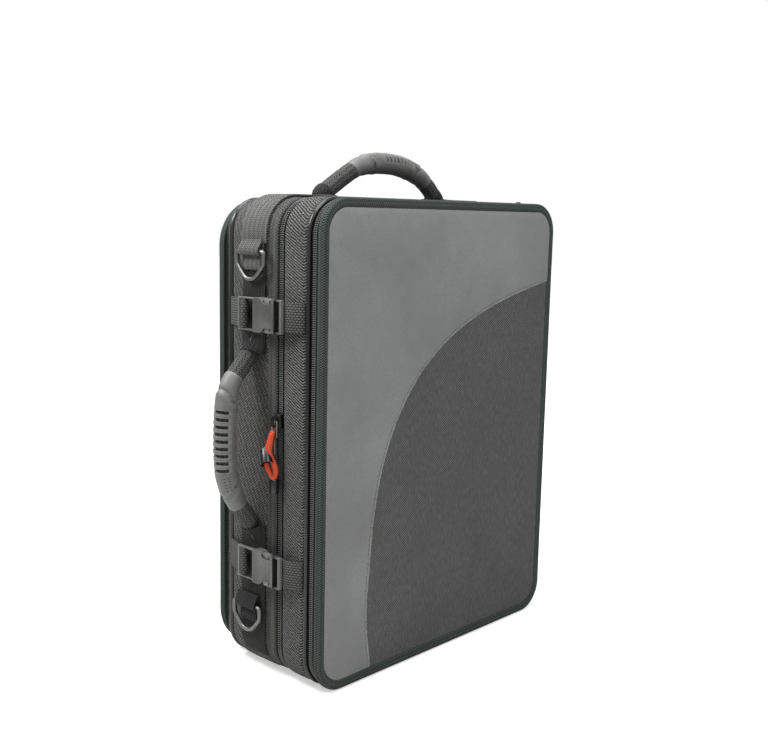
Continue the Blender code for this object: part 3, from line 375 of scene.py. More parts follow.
def cleaned(piece, merge=0.0, flatten=False):
    # doubles merged and faces turned outwards; flatten joins the faces that lie in one plane
    edit(piece)
    if merge:
        bpy.ops.mesh.remove_doubles(threshold=merge)
    if flatten:
        bpy.ops.mesh.dissolve_limited(angle_limit=math.radians(1.0))
        bpy.ops.mesh.select_all(action="SELECT")
    bpy.ops.mesh.normals_make_consistent(inside=False)
    backToObject()
    return piece


def chamfered(piece, width):
    edit(piece)
    bpy.ops.mesh.bevel(offset=width, segments=1, affect="EDGES")
    backToObject()
    return piece


def modified(piece, kind, **settings):
    # adds a modifier and applies it at once
    onlyThis(piece)
    step = piece.modifiers.new(kind.lower(), kind)
    for key, value in settings.items():
        setattr(step, key, value)
    bpy.ops.object.modifier_apply(modifier=step.name)
    return piece


def eased(piece, width, segments=2, angle=60):
    return modified(piece, "BEVEL", width=width, segments=segments, limit_method="ANGLE",
                    angle_limit=math.radians(angle))


def smoothed(piece, angle=35):
    onlyThis(piece)
    bpy.ops.object.shade_smooth_by_angle(angle=math.radians(angle))
    return piece


def joined(name, pieces):
    nothingSelected()
    for piece in pieces:
        piece.select_set(True)
    bpy.context.view_layer.objects.active = pieces[0]
    bpy.ops.object.join()
    pieces[0].name = name
    return pieces[0]


def copied(piece, name):
    onlyThis(piece)
    bpy.ops.object.duplicate()
    bpy.context.object.name = name
    return bpy.context.object


def removed(piece):
    onlyThis(piece)
    bpy.ops.object.delete()


def carved(piece, cutter, kind="DIFFERENCE"):
    modified(piece, "BOOLEAN", object=cutter, operation=kind, solver="EXACT")
    removed(cutter)


def shaped(piece, move):
    # every point moved by a rule, as with a proportional edit
    onlyThis(piece)
    for point in piece.data.vertices:
        point.co += move(point.co)
    piece.data.update()
    return piece


def mapped(piece, rule, name="cloth"):
    # a UV map from a rule for each point, in metres
    layer = piece.data.uv_layers.get(name) or piece.data.uv_layers.new(name=name)
    for loop, spot in zip(piece.data.loops, layer.data):
        spot.uv = rule(piece.data.vertices[loop.vertex_index].co)


def dressed(piece, look, body, slot, *nodes):
    piece.data.materials.clear()
    piece.data.materials.append(looks[look])
    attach(piece, body)
    if nodes:
        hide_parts(*nodes)
    return piece


def smoothRun(knots, steps):
    # a smooth line through the knots
    knots = [Vector(k) for k in knots]
    run = []
    for i in range(len(knots) - 1):
        a, b = knots[i], knots[i + 1]
        before = knots[max(i - 1, 0)]
        after = knots[min(i + 2, len(knots) - 1)]
        for step in range(steps):
            t = step / steps
            square = 2 * before - 5 * a + 4 * b - after
            cube = 3 * a - before - 3 * b + after
            run.append(0.5 * (2 * a + (b - before) * t + square * t * t + cube * t ** 3))
    run.append(knots[-1])
    return [tuple(spot) for spot in run]


def lengthsOf(spots):
    # how far along the line each spot lies
    lengths = [0.0]
    for a, b in zip(spots, spots[1:]):
        lengths.append(lengths[-1] + math.dist(a, b))
    return lengths


def guide(name, spots, cyclic=False, flat=False):
    # a curve that pieces are bent along or drawn from
    curve = bpy.data.curves.new(name, "CURVE")
    curve.dimensions = "2D" if flat else "3D"
    line = curve.splines.new("POLY")
    line.points.add(len(spots) - 1)
    for point, spot in zip(line.points, spots):
        point.co = (*spot, 1.0) if len(spot) == 3 else (*spot, 0.0, 1.0)
    line.use_cyclic_u = cyclic
    made = bpy.data.objects.new(name, curve)
    bpy.context.scene.collection.objects.link(made)
    return made


def meshOf(made):
    onlyThis(made)
    bpy.ops.object.convert(target="MESH")
    return bpy.context.object


def drawnOut(piece, step):
    edit(piece)
    bpy.ops.mesh.extrude_region_move(TRANSFORM_OT_translate={"value": step})
    backToObject()
    return cleaned(piece)


def prism(name, spots, low, high):
    # a flat outline in X and Z, filled and drawn back along Y
    made = meshOf(guide(name, [(x, 0.0, z) for x, z in spots], True))
    edit(made)
    bpy.ops.mesh.remove_doubles(threshold=0.00001)
    bpy.ops.mesh.edge_face_add()
    backToObject()
    drawnOut(made, (0, high - low, 0))
    made.location = (0, low, 0)
    settle(made)
    return made


def tube(name, spots, radii, sides, cyclic=False):
    # a round tube through the spots, with its map in metres
    made = guide(name, spots, cyclic)
    made.data.bevel_depth = 1.0
    made.data.bevel_resolution = sides // 4 - 1
    made.data.use_fill_caps = True
    for point, radius in zip(made.data.splines[0].points, radii):
        point.radius = radius
    made = meshOf(made)
    layer = made.data.uv_layers[0]
    layer.name = "cloth"
    lengths = lengthsOf(spots + spots[:1] if cyclic else spots)
    around = 2 * math.pi * max(radii)
    whole = len(lengths) - 1
    for loop in layer.data:
        mark = min(loop.uv[0], 1.0) * whole
        i = min(int(mark), whole - 1)
        along = lengths[i] + (lengths[i + 1] - lengths[i]) * (mark - i)
        loop.uv = (along, loop.uv[1] * around)
    return cleaned(made, 0.000005)


def strip(name, spots, across, wide, thick, cuts=1):
    # a flat strap: its path drawn out sideways, thickened and eased at its edges
    made = meshOf(guide(name, spots))
    edit(made)
    axis = Vector(across)
    for _ in range(cuts):
        bpy.ops.mesh.extrude_edges_move(
            TRANSFORM_OT_translate={"value": tuple(axis * (wide / cuts))})
    backToObject()
    lengths = lengthsOf(spots)
    start = Vector(spots[0]).dot(axis)
    knots = [Vector(s) - axis * Vector(s).dot(axis) for s in spots]

    def flat(p):
        level = p - axis * p.dot(axis)
        i = min(range(len(knots)), key=lambda k: (knots[k] - level).length)
        return lengths[i], p.dot(axis) - start

    mapped(made, flat)
    modified(made, "SOLIDIFY", thickness=thick, offset=0.0, use_even_offset=True)
    return smoothed(eased(cleaned(made), 0.0004), 50)


def repeated(unit, track, pitch, count, y=0.0):
    # copies in a row along X, bent along a flat track that is then stood upright
    modified(unit, "ARRAY", use_relative_offset=False, use_constant_offset=True,
             constant_offset_displace=(pitch, 0, 0), count=count)
    modified(unit, "CURVE", object=track, deform_axis="POS_X")
    removed(track)
    unit.rotation_euler = (math.pi / 2, 0, 0)
    unit.location = (0, y, 0)
    settle(unit)
    return unit


# outlines seen from the front: half width, bottom, top, corner radius
case = {
    "face": -0.1555,
    "shell": (0.1555, 0.0025, 0.4111, 0.0290),
    "panel": (0.1555, 0.0018, 0.4118, 0.0260),
    "back": (0.1535, 0.0048, 0.4088, 0.0380),
    "cornerCuts": 14, "tapeCuts": 18,
}


def grown(edge, by):
    half, low, high, radius = edge
    return half + by, low - by, high + by, radius + by


def levelOf(x, z, edge):
    # how far a point lies outside the outline
    half, low, high, radius = edge
    dx = max(abs(x) - (half - radius), 0.0)
    dz = max(low + radius - z, z - (high - radius), 0.0)
    if dx == 0.0 and dz == 0.0:
        return -min(half - abs(x), z - low, high - z)
    return math.hypot(dx, dz) - radius


def outwardWay(x, z, edge):
    half, low, high, radius = edge
    cx = max(radius - half, min(half - radius, x))
    cz = max(low + radius, min(high - radius, z))
    return Vector((x - cx, 0.0, z - cz)).normalized()


def roundTheEdge(x, z, edge):
    # distance walked round the outline, anticlockwise from the lower right
    half, low, high, radius = edge
    tall = high - low - 2 * radius
    wide = 2 * (half - radius)
    bend = radius * math.pi / 2
    cx, top, bottom = half - radius, high - radius, low + radius
    if x > cx and z > top:
        return tall + radius * math.atan2(z - top, x - cx)
    if x < -cx and z > top:
        return tall + bend + wide + radius * math.atan2(-x - cx, z - top)
    if x < -cx and z < bottom:
        return 2 * tall + 2 * bend + wide + radius * math.atan2(bottom - z, -x - cx)
    if x > cx and z < bottom:
        return 2 * tall + 3 * bend + 2 * wide + radius * math.atan2(x - cx, bottom - z)
    if abs(x) <= cx:
        if z > (low + high) / 2:
            return tall + bend + cx - x
        return 2 * tall + 3 * bend + wide + x + cx
    return z - bottom if x > 0 else tall + 2 * bend + wide + top - z


def wayRound(edge):
    half, low, high, radius = edge
    return 2 * (high - low - 2 * radius) + 4 * (half - radius) + 2 * math.pi * radius


def mapRound(piece, edge):
    # cloth map in metres: along the case's outline, and across the band
    mesh = piece.data
    layer = mesh.uv_layers.get("cloth") or mesh.uv_layers.new(name="cloth")
    whole = wayRound(edge)
    for face in mesh.polygons:
        spots = [mesh.vertices[mesh.loops[i].vertex_index].co for i in face.loop_indices]
        along = [roundTheEdge(p.x, p.z, edge) for p in spots]
        far = max(along)
        steep = abs(face.normal.y) > 0.8
        for index, spot, a in zip(face.loop_indices, spots, along):
            across = levelOf(spot.x, spot.z, edge) if steep else spot.y
            layer.data[index].uv = (a + whole if far - a > whole / 2 else a, across)
    mesh.uv_layers.active = layer
    return piece


def outlineSpots(edge, level, cuts):
    half, low, high, radius = edge
    reach = radius + level
    spots = []
    for sx, sz, first in ((1, 1, 0), (-1, 1, 90), (-1, -1, 180), (1, -1, 270)):
        cx = sx * (half - radius)
        cz = high - radius if sz > 0 else low + radius
        for step in range(cuts + 1):
            turn = math.radians(first + 90 * step / cuts)
            spots.append((cx + reach * math.cos(turn), cz + reach * math.sin(turn)))
    return spots


def bandRound(name, edge, profile, wall=0.0, cuts=case["cornerCuts"]):
    # a plane with rounded corners, its edge drawn back band by band along a profile of
    # (Y, level above the outline); wall is the thickness inwards
    half, low, high, radius = edge
    y, level = profile[0]
    band = added("plane", name, (2 * (half + level), high - low + 2 * level, 1), size=1,
                 location=(0, y, (low + high) / 2), rotation=(math.pi / 2, 0, 0))
    edit(band)
    bpy.ops.mesh.bevel(offset=radius + level, segments=cuts, profile=0.5, affect="VERTICES")
    bpy.ops.mesh.select_all(action="SELECT")
    bpy.ops.mesh.delete(type="ONLY_FACE")
    bpy.ops.mesh.select_all(action="SELECT")
    for (startY, startLevel), (endY, endLevel) in zip(profile, profile[1:]):
        bpy.ops.mesh.extrude_edges_move(
            TRANSFORM_OT_translate={"value": (0, endY - startY, 0)})
        shape = bmesh.from_edit_mesh(band.data)
        for point in shape.verts:
            if point.select:
                way = outwardWay(point.co.x, point.co.z, edge)
                point.co += way * (endLevel - startLevel)
        bmesh.update_edit_mesh(band.data)
    backToObject()
    closed = profile[0] == profile[-1]
    cleaned(band, 0.00002 if closed else 0.0)
    top = max(band.data.polygons, key=lambda face: face.center.z)
    if not closed and top.normal.z < 0:
        # an open band's faces look away from the case
        band.data.flip_normals()
    if wall:
        modified(band, "SOLIDIFY", thickness=wall, offset=-1.0, use_even_offset=True)
    return mapRound(smoothed(band), edge)


light = {
    "soft": 0.27, "tint": (0.96, 0.98, 1.0, 1.0), "floor": (0.86, 0.85, 0.83, 1.0),
    "lamps": (  # place, what it looks at, size, power
        ("key", (-0.08, -1.05, 1.35), (0.0, -0.05, 0.34), 0.8, 12.8),
        ("leftFill", (-0.64, 0.30, 0.86), (-0.15, 0.0, 0.38), 0.30, 7.6),
        ("above", (-0.25, 0.1, 1.6), (0.0, 0.0, 0.3), 0.9, 21.0),
    ),
}


def studio():
    # the camera and glossy rays see white all round, the rest a soft light
    world = bpy.data.worlds.new("studio")
    bpy.context.scene.world = world
    world.use_nodes = True
    tree = world.node_tree
    tree.nodes.clear()
    path = wired(tree, "ShaderNodeLightPath", {}, {}).outputs
    soft = wired(tree, "ShaderNodeBackground", {},
                 {"Color": light["tint"], "Strength": light["soft"]})
    white = wired(tree, "ShaderNodeBackground", {}, {"Color": (1, 1, 1, 1), "Strength": 1.0})
    mirrored = wired(tree, "ShaderNodeMath", {"operation": "MAXIMUM"},
                     {0: path["Is Glossy Ray"], 1: path["Is Transmission Ray"]})
    seen = wired(tree, "ShaderNodeMath", {"operation": "MAXIMUM"},
                 {0: path["Is Camera Ray"], 1: mirrored.outputs[0]})
    mix = wired(tree, "ShaderNodeMixShader", {},
                {0: seen.outputs[0], 1: soft.outputs[0], 2: white.outputs[0]})
    wired(tree, "ShaderNodeOutputWorld", {}, {"Surface": mix.outputs[0]})

    # further off the floor runs out into white, as a studio sweep does
    floor = added("plane", "floor", size=14.0, location=(0.0, 0.0, -0.0004))
    paint = bpy.data.materials.new("paleFloor")
    paint.use_nodes = True
    tree = paint.node_tree
    tree.nodes.clear()
    path = wired(tree, "ShaderNodeLightPath", {}, {}).outputs
    spot = wired(tree, "ShaderNodeTexCoord", {}, {})
    reach = wired(tree, "ShaderNodeVectorMath", {"operation": "LENGTH"},
                  {0: spot.outputs["Object"]})
    fade = wired(tree, "ShaderNodeMapRange", {"interpolation_type": "SMOOTHSTEP"},
                 {"Value": reach.outputs["Value"], "From Min": 0.28, "From Max": 1.2,
                  "To Min": 0.50, "To Max": 1.0})
    lift = wired(tree, "ShaderNodeMath", {"operation": "MULTIPLY"},
                 {0: path["Is Camera Ray"], 1: fade.outputs[0]})
    diffuse = wired(tree, "ShaderNodeBsdfDiffuse", {}, {"Color": light["floor"]})
    glow = wired(tree, "ShaderNodeEmission", {}, {"Strength": lift.outputs[0]})
    both = wired(tree, "ShaderNodeAddShader", {}, {0: diffuse.outputs[0], 1: glow.outputs[0]})
    wired(tree, "ShaderNodeOutputMaterial", {}, {"Surface": both.outputs[0]})
    floor.data.materials.append(paint)

    for name, spot, aim, size, power in light["lamps"]:
        lamp = bpy.data.lights.new(name, "AREA")
        lamp.shape = "SQUARE"
        lamp.size = size
        lamp.energy = power
        holder = bpy.data.objects.new(name, lamp)
        bpy.context.scene.collection.objects.link(holder)
        holder.location = spot
        way = Vector(aim) - Vector(spot)
        holder.rotation_euler = way.to_track_quat("-Z", "Y").to_euler()


view = {"place": (-0.72396, -0.69054, 0.3992), "turn": -46.847, "lift": 8.788, "roll": 1.2327,
        "lens": 49.251}


def camera():
    lens = bpy.data.cameras.new("camera")
    lens.sensor_fit = "HORIZONTAL"
    lens.sensor_width = 36.0
    lens.lens = view["lens"]
    lens.clip_start = 0.01
    holder = bpy.data.objects.new("camera", lens)
    bpy.context.scene.collection.objects.link(holder)
    turn, lift, roll = (math.radians(view[key]) for key in ("turn", "lift", "roll"))
    back = Vector((math.sin(turn) * math.cos(lift), -math.cos(turn) * math.cos(lift),
                   math.sin(lift)))
    right = Vector((math.cos(turn), math.sin(turn), 0.0))
    up = back.cross(right)
    across = math.cos(roll) * right + math.sin(roll) * up
    upright = math.cos(roll) * up - math.sin(roll) * right
    pose = Matrix((across, upright, back)).transposed().to_4x4()
    pose.translation = Vector(view["place"])
    holder.matrix_world = pose
    bpy.context.scene.camera = holder
    bpy.context.scene.view_settings.view_transform = "Standard"


camera()
studio()
print("camera and light ready")

wall = {"thick": 0.0070, "crown": 0.0025}


def shells():
    crown = wall["crown"]
    lid = bandRound("lidWall", case["shell"], [
        (-0.0720, 0.0002), (-0.0712, 0.0012), (-0.0696, 0.0019), (-0.0660, 0.0024),
        (-0.0600, crown), (-0.0530, crown), (-0.0486, 0.0023), (-0.0470, 0.0017),
        (-0.0465, 0.0009)], wall["thick"])
    dressed(lid, "lidTwill", "lid", "twill", "lid_shell")
    base = bandRound("baseWall", case["shell"], [
        (-0.0270, 0.0011), (-0.0264, 0.0019), (-0.0250, 0.0024), (-0.0180, crown),
        (0.0040, crown), (0.0120, 0.0023), (0.0165, 0.0017), (0.0196, 0.0009),
        (0.0209, 0.0001), (0.0213, -0.0006)], wall["thick"])
    dressed(base, "baseTwill", "base", "twill", "base_shell")


def pipings():
    for name, line, radius, crest, body, node in (
        ("lidPiping", -0.0744, 0.0020, 0.0027, "lid", "lid_piping"),
        ("basePiping", 0.0247, 0.0031, 0.0013, "base", "base_piping"),
    ):
        ring = [(line + radius * math.cos(turn), crest - radius + radius * math.sin(turn))
                for turn in (math.radians(30 * step) for step in range(12))]
        cord = bandRound(name, case["shell"], ring + ring[:1])
        dressed(smoothed(cord, 80), "pipingVinyl", body, "piping_vinyl", node)


# each zip: where its halves meet, its level on the wall, and how deep one half's coil is
zips = {
    "tape": 0.0011, "pitch": 0.0018,
    "main": {"line": -0.04185, "level": 0.0003, "depth": 0.0023},
    "front": {"line": -0.0805, "level": -0.0002, "depth": 0.0020},
    "back": {"line": 0.0343, "level": -0.0055, "depth": 0.0014},
    # node, piece, body, zip, side of its line, the tape's drop at the coil and its way from there
    "halves": (
        ("lid_zip_half", "lidMainZip", "lid", "main", -1, 0.0005,
         ((-0.04485, 0.0), (-0.0462, 0.0))),
        ("base_zip_half", "baseMainZip", "base", "main", 1, 0.0005,
         ((-0.03885, 0.0), (-0.0273, 0.0))),
        ("lid_pocket_zip", "lidPocketZip", "lid", "front", 1, 0.0003,
         ((-0.0766, 0.0), (-0.0755, 0.0), (-0.0723, -0.0020))),
        ("front_panel_zip", "frontPanelZip", "front_panel", "front", -1, 0.0003,
         ((-0.0827, 0.0003), (-0.0860, 0.0007))),
        ("base_pocket_zip", "basePocketZip", "base", "back", -1, 0.0005,
         ((0.0322, 0.0), (0.0216, 0.0))),
        ("back_panel_zip", "backPanelZip", "back_panel", "back", 1, 0.0004,
         ((0.0358, -0.0002), (0.0357, -0.0060))),
    ),
    # a woven band beside the main coil, on the base's tape
    "band": ((-0.0374, 0.0005), (-0.0370, 0.0013), (-0.0362, 0.0016), (-0.0262, 0.0016),
             (-0.0258, 0.0007)),
}


def zipHalves():
    edge = case["shell"]
    for node, name, body, kind, side, drop, rest in zips["halves"]:
        line, level, depth = (zips[kind][key] for key in ("line", "level", "depth"))
        lip = line + side * (depth + 0.0002)
        run = [(line + side * 0.0002, level - 0.0006), (lip, level - drop)]
        run += [(y, level + rise) for y, rise in rest]
        tape = bandRound(name, edge, run, zips["tape"])
        if node == "base_zip_half":
            band = bandRound("wovenBand", edge, zips["band"], 0.0007)
            dressed(band, "zipBand", body, "zip_cloth")
        # one loop of the coil: a short slanted bar beside the split
        tooth = added("cube", name + "Coil", (zips["pitch"] * 0.46, 0.0010, depth * 0.90),
                      size=1, location=(0, 0.0003, -side * (depth * 0.52 + 0.0001)),
                      rotation=(0, side * 0.34, 0))
        smoothed(chamfered(tooth, 0.00022), 60)
        count = round(wayRound(edge) / zips["pitch"])
        spots = outlineSpots(edge, level, case["cornerCuts"])
        pitch = lengthsOf(spots + spots[:1])[-1] / count
        coil = repeated(tooth, guide("track", spots, True, True), pitch, count, line)
        dressed(tape, "zipTape", body, "zip_cloth", node)
        dressed(coil, "coilPlastic", body, "zip_cloth")


shells()
pipings()
zipHalves()
print("walls, piping and zips ready")


def seamSpots(shift=0.0):
    # the seam's line, moved sideways into the leather by shift
    knots = [(a * case["panel"][0], case["panel"][1] + b * 0.410) for a, b in panel["seam"]]
    spots = [Vector(spot) for spot in smoothRun(knots, panel["seamSteps"])]
    if not shift:
        return spots
    moved = []
    for i, spot in enumerate(spots):
        way = (spots[min(i + 1, len(spots) - 1)] - spots[max(i - 1, 0)]).normalized()
        moved.append(spot + Vector((way.y, -way.x)) * shift)
    return moved


def domeOf(x, z, edge, rise):
    # a soft pillow: full in the middle, falling to nothing at the outline
    share = min(1.0, max(0.0, -levelOf(x, z, edge)) / 0.046)
    return rise * (1 - (1 - share) ** 2.4)


def swellOf(p):
    # soft unevenness of leather over a padded board
    return 0.00035 * math.sin(p.x * 31 + 1.3) * math.sin(p.z * 23 + 0.4)


def skin(name, edge, shift, back, thick, step):
    # a fine grid with a thickness, cut to the outline
    half, low, high, radius = edge
    made = added("grid", name, (2 * half + 0.004, high - low + 0.004, 1), size=1,
                 x_subdivisions=round(2 * half / step),
                 y_subdivisions=round((high - low) / step),
                 location=(-shift, back, (low + high) / 2), rotation=(math.pi / 2, 0, 0))
    drawnOut(made, (0, -thick, 0))
    cut = [(x - shift, z) for x, z in outlineSpots(edge, 0.0015, 12)]
    carved(made, prism("trim", cut, back - 0.02, back + 0.02), "INTERSECT")
    return made


def frontPanel():
    front, shift, lip = (panel[key] for key in ("front", "lipShift", "lip"))
    body = "front_panel"

    def dome(p):
        return domeOf(p.x + shift, p.z, grown(lip, 0.003), panel["dome"])

    # nylon skin under the whole front, leather laid over its upper left with a turned edge
    nylon = skin("frontNylon", lip, shift, front + 0.0006, 0.0010, 0.0062)
    shaped(nylon, lambda p: Vector((0, -dome(p), 0)))
    dressed(smoothed(nylon), "panelTwill", body, "nylon", "front_nylon_skin")

    seam = seamSpots()
    upperLeft = [tuple(spot) for spot in seam] + [(-0.19, -0.012), (-0.19, 0.44), (0.171, 0.44)]
    leather = skin("frontLeather", lip, shift, front + 0.0004, 0.0016, 0.0062)
    carved(leather, prism("cut", upperLeft, front - 0.02, front + 0.02), "INTERSECT")

    def fromSeam(p):
        return min((Vector((p.x, p.z)) - spot).length for spot in seam)

    def drape(p):
        near = fromSeam(p)
        # the turned edge: a rounded rim, and a shallow trough along the stitches
        trough = 0.00055 * math.exp(-((near - panel["stitchIn"]) / 0.0012) ** 2)
        rim = 0.00045 * math.exp(-(near / 0.0009) ** 2) * (1 if p.y < front else 0)
        # puckers where the leather is drawn under the binding
        inside = max(0.0, -levelOf(p.x + shift, p.z, lip))
        pucker = math.sin(p.x * 210 + 2.4 * math.sin(p.z * 37))
        pucker *= math.sin(p.z * 190 + 1.8 * math.sin(p.x * 41))
        pucker = 0.0006 * (pucker + 0.7) * math.exp(-inside / 0.013) * min(1.0, inside / 0.002)
        # the upper right corner is pulled down
        corner = math.hypot(p.x - 0.118, p.z - 0.382)
        pinch = 0.0011 * math.exp(-(corner / 0.020) ** 2)
        return Vector((0, trough + rim - pinch - dome(p) - swellOf(p) - pucker, 0))

    edit(leather)
    shape = bmesh.from_edit_mesh(leather.data)
    for face in shape.faces:
        face.select = face.normal.y < -0.5 and len(face.verts) > 4
    bmesh.update_edit_mesh(leather.data)
    bpy.ops.mesh.quads_convert_to_tris()
    backToObject()
    eased(shaped(leather, drape), 0.0003)
    # the distance from the seam places the painted highlight and painted shade along the seam
    mapped(leather, lambda p: (fromSeam(p), 0.0))
    dressed(smoothed(leather), "frontLeather", body, "leatherette", "front_leather_skin")

    # stitches beside the seam
    pitch = panel["stitchPitch"]
    stitch = added("cylinder", "seamStitches", vertices=6, radius=0.00028, depth=0.00165,
                   location=(1.5 * pitch, 0, 0), rotation=(0, math.pi / 2, 0))
    line = [tuple(spot) for spot in seamSpots(panel["stitchIn"])
            if levelOf(spot.x + shift, spot.y, lip) < -0.0005]
    repeated(chamfered(stitch, 0.00012), guide("track", line, False, True), pitch,
             int(lengthsOf(line)[-1] / pitch) - 4)
    shaped(stitch, lambda p: Vector((0, front - 0.00085 - dome(p) - swellOf(p), 0)))
    dressed(smoothed(stitch, 60), "stitchThread", body, "binding_cloth")

    # the bound edge: tape folded round the panel, its front lip wider at the right and bottom
    edge = case["panel"]
    tape = bandRound("frontBinding", edge, [
        (-0.0850, -0.0008), (-0.0849, 0.0006), (-0.0854, 0.0013), (-0.0866, 0.0016),
        (-0.0882, 0.0017), (-0.0898, 0.0015), (-0.0911, 0.0006), (-0.0919, -0.0010),
        (-0.0922, -0.0034), (-0.0921, -0.0064), (-0.0919, -0.0076), (-0.0913, -0.0079),
        (-0.0908, -0.0078)], 0.0, case["tapeCuts"])

    def widen(p):
        inside = -levelOf(p.x, p.z, edge) - 0.0015
        share = min(1.0, max(0.0, inside / 0.0060)) if p.y < -0.0905 else 0.0
        return Vector((-shift * share, 0, 0.0009 * share))

    mapRound(shaped(tape, widen), edge)
    dressed(smoothed(tape, 50), "edgeTape", body, "binding_cloth", "front_binding")


def backPanel():
    edge = case["back"]
    lip = grown(edge, -panel["backLip"])
    sheet = skin("backSkin", lip, 0.0, panel["back"], 0.0012, 0.0080)

    def pillow(p):
        # a shallow trough runs round inside the binding
        groove = (-levelOf(p.x, p.z, lip) - 0.016) / 0.0022
        rise = domeOf(p.x, p.z, lip, panel["backDome"])
        return Vector((0, rise - 0.0009 * math.exp(-groove ** 2), 0))

    shaped(sheet, pillow)
    dressed(smoothed(sheet), "panelTwill", "back_panel", "nylon", "back_skin")
    tape = bandRound("backBinding", edge, [
        (0.0361, -0.0060), (0.0361, -0.0010), (0.0364, 0.0006), (0.0374, 0.0014),
        (0.0395, 0.0016), (0.0418, 0.0013), (0.0431, 0.0003), (0.0438, -0.0012),
        (0.0440, -0.0034), (0.0439, -0.0060), (0.0437, -0.0070), (0.0431, -0.0073),
        (0.0426, -0.0072)], 0.0, case["tapeCuts"])
    dressed(smoothed(tape, 50), "edgeTape", "back_panel", "binding_cloth", "back_binding")


frontPanel()
backPanel()
print("panels ready")

# routes: distance along the wall and height over it; slots lie across each grip's back
handle = {
    "half": 0.0795, "tube": 0.0078, "foot": 0.0060, "grip": 0.0097, "gripSteps": 150,
    "long": 0.181, "slotDeep": 0.0034, "slotRim": 0.0140,
    "side": {"from": -0.0555, "to": 0.0560, "slots": 9, "slotWidth": 0.0031,
             "slotPitch": 0.0060, "slotAt": 0.0030, "slotReach": 62, "slotTurn": 8,
             "route": ((-0.0776, 0.0070), (-0.0735, 0.0080), (-0.0685, 0.0102),
                       (-0.0566, 0.0192), (-0.0430, 0.0272), (-0.0317, 0.0317),
                       (-0.0210, 0.0337), (-0.0050, 0.0346), (0.0114, 0.0345),
                       (0.0250, 0.0339), (0.0370, 0.0325), (0.0470, 0.0294),
                       (0.0550, 0.0243), (0.0659, 0.0143), (0.0735, 0.0080),
                       (0.0778, 0.0066)),
             "at": (case["face"], -0.0100, 0.2090), "along": (0, 0, 1), "out": (-1, 0, 0)},
    "top": {"from": -0.0400, "to": 0.0600, "slots": 10, "slotWidth": 0.0030,
            "slotPitch": 0.0048, "slotAt": 0.0205, "slotReach": 44, "slotTurn": 40,
            "route": ((-0.0790, 0.0022), (-0.0755, 0.0050), (-0.0704, 0.0087),
                      (-0.0620, 0.0140), (-0.0510, 0.0206), (-0.0386, 0.0275),
                      (-0.0259, 0.0324), (-0.0130, 0.0348), (0.0003, 0.0355),
                      (0.0180, 0.0348), (0.0363, 0.0312), (0.0508, 0.0253),
                      (0.0644, 0.0163), (0.0721, 0.0089), (0.0770, 0.0035),
                      (0.0790, 0.0012)),
            "at": (-0.0073, -0.0100, 0.4111), "along": (1, 0, 0), "out": (0, 0, 1)},
    # the top handle's feet are bound in cuffs: route and radii
    "cuff": ((-0.0792, 0.0010, 0.0072), (-0.0772, 0.0034, 0.0085), (-0.0745, 0.0058, 0.0088),
             (-0.0716, 0.0080, 0.0088), (-0.0708, 0.0086, 0.0081)),
}


def alongRoute(spots, share):
    # the spot at a share of the route's length, and the way the route runs there
    lengths = lengthsOf(spots)
    aim = lengths[-1] * share
    for i in range(len(spots) - 1):
        if lengths[i + 1] >= aim:
            t = (aim - lengths[i]) / (lengths[i + 1] - lengths[i])
            a, b = spots[i], spots[i + 1]
            spot = [p + (q - p) * t for p, q in zip(a, b)]
            return spot, math.atan2(b[1] - a[1], b[0] - a[0])
    return list(spots[-1]), 0.0


def shareAt(flat, along):
    # how far along the route a point lies whose distance along the case is given
    lengths = lengthsOf(flat)
    for i in range(len(flat) - 1):
        if flat[i][0] <= along <= flat[i + 1][0]:
            t = (along - flat[i][0]) / (flat[i + 1][0] - flat[i][0])
            return (lengths[i] + (lengths[i + 1] - lengths[i]) * t) / lengths[-1]
    return 0.5


